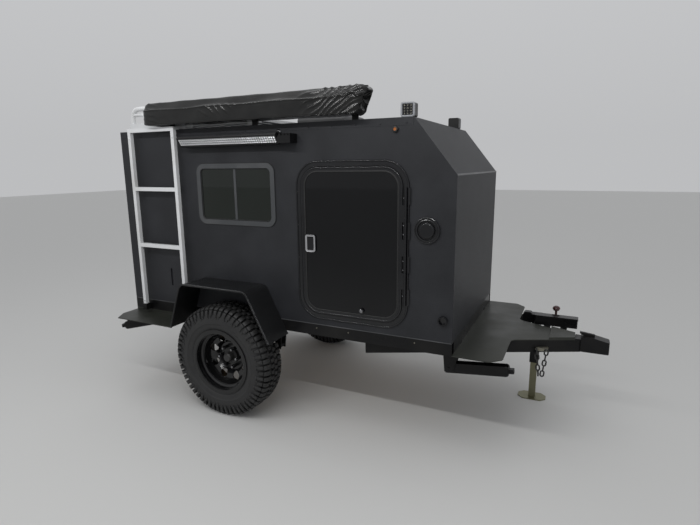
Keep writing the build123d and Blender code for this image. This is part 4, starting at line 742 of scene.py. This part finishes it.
def lens_plastic(name, colour, deep):
    """Coloured lens with fine level ribs."""
    material, tree, shader = new_finish(name)
    coordinates = node_in(tree, "ShaderNodeTexCoord")
    ribs = node_in(tree, "ShaderNodeTexWave", {"Vector": coordinates.outputs["Object"], "Scale": 60},
                   bands_direction="Z").outputs["Fac"]
    feed(shader, {"Base Color": colour_between(tree, ribs, deep, colour), "Roughness": 0.12,
                  "Subsurface Weight": 0.15, "Coat Weight": 0.6,
                  "Normal": bumped(tree, ribs, 0.15, 0.001).outputs["Normal"]})
    return material


finish_nodes(lens_plastic("red_lens", (0.30, 0.010, 0.008), (0.16, 0.005, 0.004)), "tail_lamps")
finish_nodes(lens_plastic("amber_lens", (0.50, 0.15, 0.02), (0.30, 0.085, 0.010)), "markers")
low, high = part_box("markers")
marker_x, marker_z = (low[0] + high[0]) / 2, (low[2] + high[2]) / 2
grommet = turned([(0.0132, 0), (0.0172, 0), (0.0176, 0.0060), (0.0160, 0.0118), (0.0120, 0.0142),
                  (0.0088, 0.0138), (0.0086, 0.0121), (0.0132, 0.0121), (0.0132, 0)], 36)
made("marker_grommets", "trailer", [
    placed(grommet, facing_out(side), (marker_x, side * rail_y, marker_z)) for side in (-1, 1)],
    gasket_rubber)

# Lamp bar under the roof edge.
# Extruded black aluminium housing with cooling fins, a chromed pivot bolt and rows of square silvered
# cups, each round one small white chip, behind its recessed front.

lamp_black = painted_steel("lamp_black", (0.005, 0.005, 0.0055), (0.011, 0.011, 0.011), 0.22, 0.38, 0.2, 0.3)
finish_nodes(lamp_black, "light_bar")
silvered = painted_steel("silvered_cups", (0.86, 0.87, 0.89), (0.70, 0.71, 0.73), 0.24, 0.40, 0.03, metal=0.5)
chip_white = painted_steel("lamp_chips", (0.62, 0.60, 0.46), (0.55, 0.53, 0.40), 0.3, 0.4, 0.02)


def square_cup(size, depth):
    """Square cup open at the top, its floor a smaller square."""
    outer, inner, floor = size / 2, size / 2 * 0.9, size / 2 * 0.38
    return [lofted([[(sx * half, sy * half, z) for sx, sy in ((-1, -1), (1, -1), (1, 1), (-1, 1))]
                    for half, z in ((outer, 0), (outer, depth), (inner, depth), (floor, 0.0006))])]


cells_tree, given = tree_with("rows_of_cells", (
    ("Pattern", "Object"), ("Columns", "Int"), ("Rows", "Int"), ("Length", "Float"), ("Width", "Float"),
    ("Middle", "Vector"), ("Facing", "Rotation"), ("Finish", "Material")))
board = node_in(cells_tree, "GeometryNodeMeshGrid", {
    "Vertices X": given["Columns"], "Vertices Y": given["Rows"], "Size X": given["Length"],
    "Size Y": given["Width"]})
set_up = node_in(cells_tree, "GeometryNodeTransform", {
    "Geometry": board.outputs["Mesh"], "Translation": given["Middle"], "Rotation": given["Facing"]})
close_tree(cells_tree, given, set_up.outputs["Geometry"], given["Facing"])


def lamp_cells(name, columns, rows, pitch, middle, facing, size, cup_shells, cup_finish):
    """A board of cups and one of chips, facing out of a lamp."""
    empty = bpy.data.meshes.new("empty")
    empty.from_pydata([(0, 0, 0)], [], [])
    settings = {"Columns": columns, "Rows": rows, "Length": (columns - 1) * pitch[0],
                "Width": (rows - 1) * pitch[1], "Middle": middle, "Facing": facing.to_euler()}
    grown(name + "_cups", "trailer", empty, cells_tree,
          {**settings, "Pattern": pattern_object("cup", cup_shells), "Finish": cup_finish}, 20)
    chip = pattern_object("chip", [turned([
        (size * 0.13, 0.0004), (size * 0.14, 0.0012), (size * 0.08, 0.0018), (size * 0.01, 0.0020)], 10)])
    grown(name + "_chips", "trailer", empty.copy(), cells_tree,
          {**settings, "Pattern": chip, "Finish": chip_white})


bar_start, bar_length, bar_cell = rear_x + 0.619, 0.768, 0.0112
bar_columns, bar_rows, bar_pitch = 46, 3, (0.0163, 0.0150)
cell_depth, lens_depth = 0.0042, 0.0049
across = Vector((1, 0, 0))
brow, chin = Vector((0, -rail_y - 0.092, 1.812)), Vector((0, -rail_y - 0.05796, 1.760))
lens_out = (chin - brow).normalized().cross(across).normalized()
bar_facing = Matrix((across, lens_out.cross(across), lens_out)).transposed()
bar_middle = (brow + chin) / 2 - lens_out * lens_depth + Vector((bar_start + bar_length / 2, 0, 0))
lamp_cells("lamp_bar", bar_columns, bar_rows, bar_pitch, bar_middle, bar_facing, bar_cell,
           square_cup(bar_cell, cell_depth), silvered)
pivot_bolt = turned([(0.0085, -0.001), (0.0092, 0.0005), (0.0092, 0.0045), (0.0072, 0.0065),
                     (0.0050, 0.0068), (0.0046, 0.0030), (0.0008, 0.0028)], 24)
pivot = (bar_start + bar_length + 0.014, -rail_y - 0.064, 1.830)
made("lamp_bar_bolt", "trailer", [
    placed(pivot_bolt, Matrix.Rotation(math.radians(90), 3, "Y"), pivot)], bright)

# Cube lamps on the roof.
# Die-cast black cubes with a bright bezel and twelve smoky round cups behind the lens.

finish_nodes(lamp_black, "light_pods")
pod_low, pod_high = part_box("light_pods")
pod_x, pod_z = (pod_low[0] + pod_high[0]) / 2, pod_high[2] - 0.038
pod_edge, pod_cell = (0.0762, 0.0762, 0.0105), 0.0118
pod_columns, pod_rows, pod_pitch = 3, 4, (0.0185, 0.0142)
bezel_line = [(-0.0010, -0.012), (-0.0010, 0.0006), (0.0012, 0.0016), (0.0070, 0.0016), (0.0086, 0.0004),
              (0.0086, -0.004), (0.0006, -0.004), (0.0006, -0.012)]
smoked = painted_steel("smoked_cups", (0.16, 0.16, 0.165), (0.10, 0.10, 0.10), 0.14, 0.3, 0.03, metal=0.8)
pod_metal = painted_steel("pod_metal", (0.30, 0.31, 0.33), (0.24, 0.24, 0.25), 0.3, 0.45, 0.1)


def round_cup(size, depth):
    """Round cup open at the top."""
    r = size / 2
    return [turned([(r, 0), (r, depth), (r * 0.86, depth), (r * 0.36, 0.0006), (r * 0.05, 0.0006)], 18)]


bezels = []
for name, side in sides:
    face = side * pod_high[1]
    bezels.append(rounded_ring(pod_x, pod_z, *pod_edge, face, bezel_line, 6))
    out = Vector((0, side, 0))
    lamp_cells("pod_" + name, pod_columns, pod_rows, pod_pitch,
               Vector((pod_x, face - side * lens_depth, pod_z)),
               Matrix((across, out.cross(across), out)).transposed(), pod_cell,
               round_cup(pod_cell, cell_depth), smoked)
made("pod_bezels", "trailer", bezels, pod_metal)

# Roof rack, ladder and bag brackets.
# Square and round aluminium tube, welded, with a white satin powder coat, held by carriage bolts under
# the same coat. The brackets under the bag are painted black.

white_coat = painted_steel("white_coat", (0.70, 0.71, 0.72), (0.58, 0.58, 0.57), 0.34, 0.5, 0.1)
finish_nodes(white_coat, "roof_rack", "ladder")
finish_nodes(chassis_paint, "bag_brackets")
ladder_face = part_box("ladder")[0][1]
dome_bolt = pattern_object("dome_bolt", [turned([
    (0.004, -0.0005), (0.0085, 0), (0.0082, 0.0014), (0.0062, 0.0034), (0.0030, 0.0046),
    (0.0004, 0.0049)], 18)])
ladder_rails, ladder_fixings = (rear_x + 0.150, rear_x + 0.550), (0.668, roof_z - 0.050)
fasteners("ladder_bolts", "trailer", dome_bolt, [
    ((x, ladder_face, z), (0, -1, 0)) for x in ladder_rails for z in ladder_fixings], white_coat)
slats, first_slat, slat_pitch = 12, rear_x + 0.116, 0.088
rack_y, slat_top = 0.515, roof_z + 0.062
fasteners("rack_bolts", "trailer", dome_bolt, [
    ((first_slat + i * slat_pitch, side * rack_y, slat_top), (0, 0, 1))
    for side in (-1, 1) for i in range(slats)], white_coat)

# Awning bag.
# Coated cloth sewn round the rolled awning, creased from folding, gathered at its front end under a
# loose flap.

bag_cloth, tree, shader = new_finish("coated_cloth")
coordinates = node_in(tree, "ShaderNodeTexCoord")
warp, weft = (node_in(tree, "ShaderNodeTexWave", {"Vector": coordinates.outputs["Object"], "Scale": 190},
                      wave_type="BANDS", bands_direction=direction).outputs["Fac"] for direction in "XZ")
scuff = object_noise(tree, 7, 5, 0.6, (1, 2, 2))
rumple = bumped(tree, object_noise(tree, 14, 5, 0.5, (0.6, 2, 1.4)), 0.22, 0.003)
thread = bumped(tree, combined(tree, "MULTIPLY", warp, weft), 0.25, 0.0003)
feed(thread, {"Normal": rumple.outputs["Normal"]})
feed(shader, {
    "Base Color": colour_between(tree, ramp_between(tree, scuff, 0.4, 0.7), (0.0055, 0.0055, 0.0053),
                                 (0.0110, 0.0110, 0.0102)),
    "Roughness": ramp_between(tree, scuff, 0.3, 0.7, 0.13, 0.22), "Specular IOR Level": 0.42,
    "Normal": thread.outputs["Normal"]})

bag_low, bag_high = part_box("awning_bag")
bag_length, bag_deep, bag_tall = (high - low for low, high in zip(bag_low, bag_high))
bag_outline = [(0.080, 0.0), (0.030, 0.035), (0.022, 0.10), (0.020, 0.30), (0.018, 0.50), (0.016, 0.595),
               (0.002, 0.620), (0.000, 0.640), (0.004, 0.658), (0.030, 0.675), (0.080, 0.750), (0.140, 0.850),
               (0.205, 0.955), (0.240, 0.990), (0.290, 1.0), (0.60, 1.0), (0.93, 1.0), (0.985, 0.96),
               (1.0, 0.85), (1.0, 0.50), (1.0, 0.15), (0.985, 0.04), (0.93, 0.0), (0.50, 0.0)]


def eased(points, per_span):
    """Points along a closed Catmull-Rom curve."""
    line, n = [], len(points)
    for k in range(n):
        a, b, c, d = (Vector(points[(k + m) % n]) for m in (-1, 0, 1, 2))
        for i in range(per_span):
            t = i / per_span
            line.append(0.5 * ((2 * b) + (c - a) * t + (2 * a - 5 * b + 4 * c - d) * t * t
                               + (3 * b - a - 3 * c + d) * t ** 3))
    return line


def fold_line(place, sharpness):
    """A row of thin crests with soft valleys between them, one per unit of place."""
    return (1 - abs(2 * (place % 1.0) - 1)) ** sharpness


def rise(value, start, end):
    """Smooth 0 to 1 between two values."""
    t = min(1.0, max(0.0, (value - start) / (end - start)))
    return t * t * (3 - 2 * t)


def bag_relief(along, z, turn):
    """How far the cloth stands out at a distance from the rear end and a share of the height."""
    height = z * bag_tall
    wander = 0.012 * math.sin(17 * along + 1.3) + 0.007 * math.sin(41 * along)
    fan = rise(along, bag_length - 0.50, bag_length - 0.22)
    steep = 0.55 + 1.1 * fan
    upper = rise(z, 0.60, 0.72)
    front = rise(along, bag_length - 0.17, bag_length - 0.05)
    middle = rise(along, 0.42, 0.55) * (1 - rise(along, 0.66, 0.80))
    flank = rise(z, 0.15, 0.55) * (1 - rise(z, 0.66, 0.72))
    relief = 0.0068 * fan * (0.45 + 0.55 * upper) * fold_line((along - steep * height + wander) / 0.052, 2.2)
    relief += 0.0050 * front * fold_line(11 * turn / (2 * math.pi) + 9 * (bag_length - along), 2)
    relief += 0.0046 * middle * flank * fold_line((along + 1.25 * height + wander) / 0.062, 3)
    relief += 0.0030 * (1 - rise(along, 0.04, 0.22)) * fold_line((along * 0.6 + height + wander) / 0.034, 2.4)
    relief += 0.0024 * fold_line((along - 0.4 * height + 3 * wander) / 0.31, 1.2) * (1 - upper)
    relief += 0.0016 * math.sin(9.0 * along + 14 * height) * math.sin(23 * along - 20 * height)
    return relief


def drawn_in(ring, inwards):
    """End rings gathered towards the middle in pleats."""
    middle = sum((Vector(p) for p in ring), Vector()) / len(ring)
    added = []
    for share, depth in ((0.86, 0.004), (0.62, 0.013), (0.36, 0.019), (0.14, 0.021), (0.03, 0.020)):
        new_ring = []
        for i, p in enumerate(ring):
            turn = 2 * math.pi * i / len(ring)
            pleat = 1 + 0.13 * (1 - share) * math.sin(13 * turn) + 0.05 * math.sin(29 * turn) * (1 - share)
            place = middle + (Vector(p) - middle) * share * pleat
            place.x = (p[0] * share + middle.x * (1 - share)
                       + inwards * (depth + 0.004 * math.sin(13 * turn) * (share > 0.1)))
            new_ring.append(tuple(place))
        added.append(new_ring)
    return added


bag_ring = eased(bag_outline, 6)
stations = 420
rings = []
for k in range(stations + 1):
    along = k / stations * bag_length
    end = min(along, bag_length - along)
    close = 1 - (0.30 if along > bag_length / 2 else 0.12) * max(0.0, 1 - end / 0.035) ** 2.4
    gather = rise(along, bag_length - 0.30, bag_length)
    ridge_wave = 0.010 * gather * math.sin(74 * along) + 0.0022 * math.sin(13 * along + 0.4)
    ring = []
    for i, (y, z) in enumerate(bag_ring):
        cy, cz = y - 0.5, z - 0.5
        size = math.hypot(cy, cz) or 1
        out = close * (0.955 + bag_relief(along, z, 2 * math.pi * i / len(bag_ring)) / (bag_tall * size))
        near_ridge = math.exp(-((z - 0.64) / 0.10) ** 2) * (1 if y < 0.5 else 0)
        back = 0.042 * gather * (1 - min(1.0, max(0.0, z)))
        ring.append((bag_low[0] + along - back, bag_low[1] + (0.5 + cy * out) * bag_deep,
                     bag_low[2] + (0.5 + cz * out) * bag_tall + ridge_wave * near_ridge))
    rings.append(ring)
rings = drawn_in(rings[0], 1)[::-1] + rings + drawn_in(rings[-1], -1)
awning = made("awning_cover", "trailer", [lofted(rings)], bag_cloth, 180)
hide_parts("awning_bag")

flap_sheet, flap_start, flap_length = 0.0022, bag_high[0] - 0.160, 0.158
flap_rows = []
for i in range(13):
    along = i / 12
    reach = flap_start + flap_length * along
    near = bag_low[1] + bag_deep * (0.24 + 0.10 * along ** 2)
    far = bag_high[1] - bag_deep * (0.06 + 0.50 * along ** 2.5)
    lift = bag_high[2] - 0.0045 + 0.0022 * math.sin(9 * along) - 0.011 * max(0, along - 0.75)
    row = [(reach, near + (far - near) * j / 6, lift + 0.0016 * math.sin(5 * j / 6 + 7 * along))
           for j in range(7)]
    flap_rows.append(row + [(x, y, z - flap_sheet) for x, y, z in reversed(row)])
made("awning_flap", "trailer", [lofted(flap_rows)], bag_cloth, 60)

# Roof vent and its lid.
# Vacuum-formed smoky plastic dome on a moulded collar, screwed down through a flange.

vent_plastic = painted_steel("vent_plastic", (0.03, 0.031, 0.033), (0.05, 0.05, 0.05), 0.35, 0.5, 0.1)
finish_nodes(vent_plastic, "roof_vent", "vent_lid")

# Jack, crank and tongue case.
# Square drop leg inside a welded tube, plated with yellow zinc, a dark red moulded crank knob, and a
# moulded black case that stands on the tongue.

yellow_zinc = painted_steel("yellow_zinc", (0.17, 0.165, 0.10), (0.25, 0.24, 0.16), 0.34, 0.5, 0.1, metal=0.7)
finish_nodes(yellow_zinc, "jack_leg")
knob_plastic = painted_steel("knob_plastic", (0.040, 0.009, 0.008), (0.060, 0.015, 0.013), 0.2, 0.32, 0.05)
finish_nodes(knob_plastic, "crank_knob")
finish_nodes(lamp_black, "tongue_case")

# Safety chains.
# Links of round welded bar, blackened with use, hung from an oval zinc-plated plate on the beam's face.

chain_steel = painted_steel("chain_steel", (0.010, 0.010, 0.010), (0.022, 0.021, 0.020), 0.26, 0.44, 0.1)
link_long, link_wide, link_bar = 0.044, 0.0285, 0.0092
link_pitch = 0.0344
links_hung = 5
top_spread, end_spread = 0.028, 0.009
chain_low, chain_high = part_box("safety_chains")
beam_low = 0.510
chain_x, chain_y, plate_z = front_x + 0.437, chain_low[1] + 0.0135, beam_low + 0.025
straight, bend = (link_long - link_wide) / 2, (link_wide - link_bar) / 2
link_rings = []
for half_turn in (0, 1):
    for i in range(9):
        a = math.pi * half_turn + math.pi * i / 8
        x, y, z = on_circle(0, 0, straight if half_turn == 0 else -straight, bend, a)
        link_rings.append([on_circle(x, link_bar / 2 * math.sin(b), z, link_bar / 2 * math.cos(b), a)
                           for b in (2 * math.pi * k / 10 for k in range(10))])
link = pattern_object("link", [hoop(link_rings)])
tilt = math.asin((top_spread - end_spread) / (link_pitch * links_hung))
strands = []
for side in (-1, 1):
    hung = [(i + 0.35) * link_pitch for i in range(links_hung)]
    strands.append([(chain_x + side * (top_spread - along * math.sin(tilt)), chain_y,
                     plate_z - along * math.cos(tilt)) for along in hung])
chains = grown("chain_links", "trailer", run_host(strands), along_run, {
    "Pattern": link, "Pitch": link_pitch * 0.999, "Twist": math.pi / 2, "Finish": chain_steel}, 60)
plate_half, plate_round = 0.027, 0.009
plate_line = []
for end in (1, -1):
    for i in range(13):
        a = math.radians(-90 + 15 * i)
        plate_line.append((end * (plate_half + plate_round * math.cos(a)), end * plate_round * math.sin(a)))
plate_stations = ((chain_high[1] - 0.0005, 1.0), (chain_y + 0.0050, 1.0), (chain_y + 0.0040, 0.96))
made("chain_plate", "trailer", [lofted([
    [(chain_x + x * size, y, plate_z + z * size) for x, z in plate_line]
    for y, size in plate_stations])], zinc)
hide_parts("safety_chains")

# Studio.
# Pale matt floor and background, one soft overhead light with two strip lights for the highlights, and
# the camera at the photograph's angle.

floor_finish, tree, shader = new_finish("studio_floor")
feed(shader, {"Base Color": (0.58, 0.58, 0.57, 1), "Roughness": 0.8})
reach = 30.0
floor_mesh = bpy.data.meshes.new("studio_floor")
floor_mesh.from_pydata([(-reach, -reach, 0), (reach, -reach, 0), (reach, reach, 0), (-reach, reach, 0)], [],
                       [(0, 1, 2, 3)])
floor_mesh.materials.append(floor_finish)
studio_floor = add_object("studio_floor", floor_mesh)

world = bpy.data.worlds.new("studio_world")
world.use_nodes = True
direction = node_in(world.node_tree, "ShaderNodeTexCoord")
parts = node_in(world.node_tree, "ShaderNodeSeparateXYZ", {"Vector": direction.outputs["Generated"]})
feed(world.node_tree.nodes["Background"], {
    "Strength": ramp_between(world.node_tree, parts.outputs["Z"], 0.05, 0.8, 0.52, 0.66),
    "Color": (0.97, 0.98, 1.0, 1)})
bpy.context.scene.world = world


def soft_light(name, place, target, width, depth, power):
    """A rectangular lamp that faces a point."""
    data = bpy.data.lights.new(name, "AREA")
    data.shape = "RECTANGLE"
    data.size = width
    data.size_y = depth
    data.energy = power
    lamp = add_object(name, data)
    lamp.location = place
    lamp.rotation_euler = (Vector(target) - Vector(place)).to_track_quat("-Z", "Y").to_euler()


soft_light("ceiling_light", (-0.5, -0.6, 4.6), (-0.3, -0.2, 0.8), 5.0, 3.0, 26)
soft_light("near_strip", (-0.2, -2.5, 3.0), (-0.2, -0.6, 1.2), 3.6, 0.05, 34)
soft_light("over_strip", (-0.2, -0.5, 3.6), (-0.2, -0.4, 1.2), 3.4, 0.06, 4)

scene = bpy.context.scene
scene.view_settings.view_transform = "Standard"

camera_place = Vector((1.4207, -3.113, 1.628))
yaw, pitch_down, roll = math.radians(-25.696), math.radians(11.345), math.radians(0.556)
photo_width, focal_length, sensor_width = 700, 480.62, 36
forward = Vector((math.sin(yaw) * math.cos(pitch_down), math.cos(yaw) * math.cos(pitch_down),
                  -math.sin(pitch_down)))
right = Vector((math.cos(yaw), -math.sin(yaw), 0))
down = forward.cross(right)
rolled_right = math.cos(roll) * right + math.sin(roll) * down
rolled_down = math.cos(roll) * down - math.sin(roll) * right
camera_data = bpy.data.cameras.new("photo_camera")
camera_data.sensor_fit = "HORIZONTAL"
camera_data.sensor_width = sensor_width
camera_data.lens = focal_length / photo_width * sensor_width
camera = add_object("photo_camera", camera_data)
turn = Matrix((rolled_right, -rolled_down, -forward)).transposed()
camera.matrix_world = Matrix.Translation(camera_place) @ turn.to_4x4()
scene.camera = camera

for pattern in patterns:
    bpy.data.objects.remove(pattern)
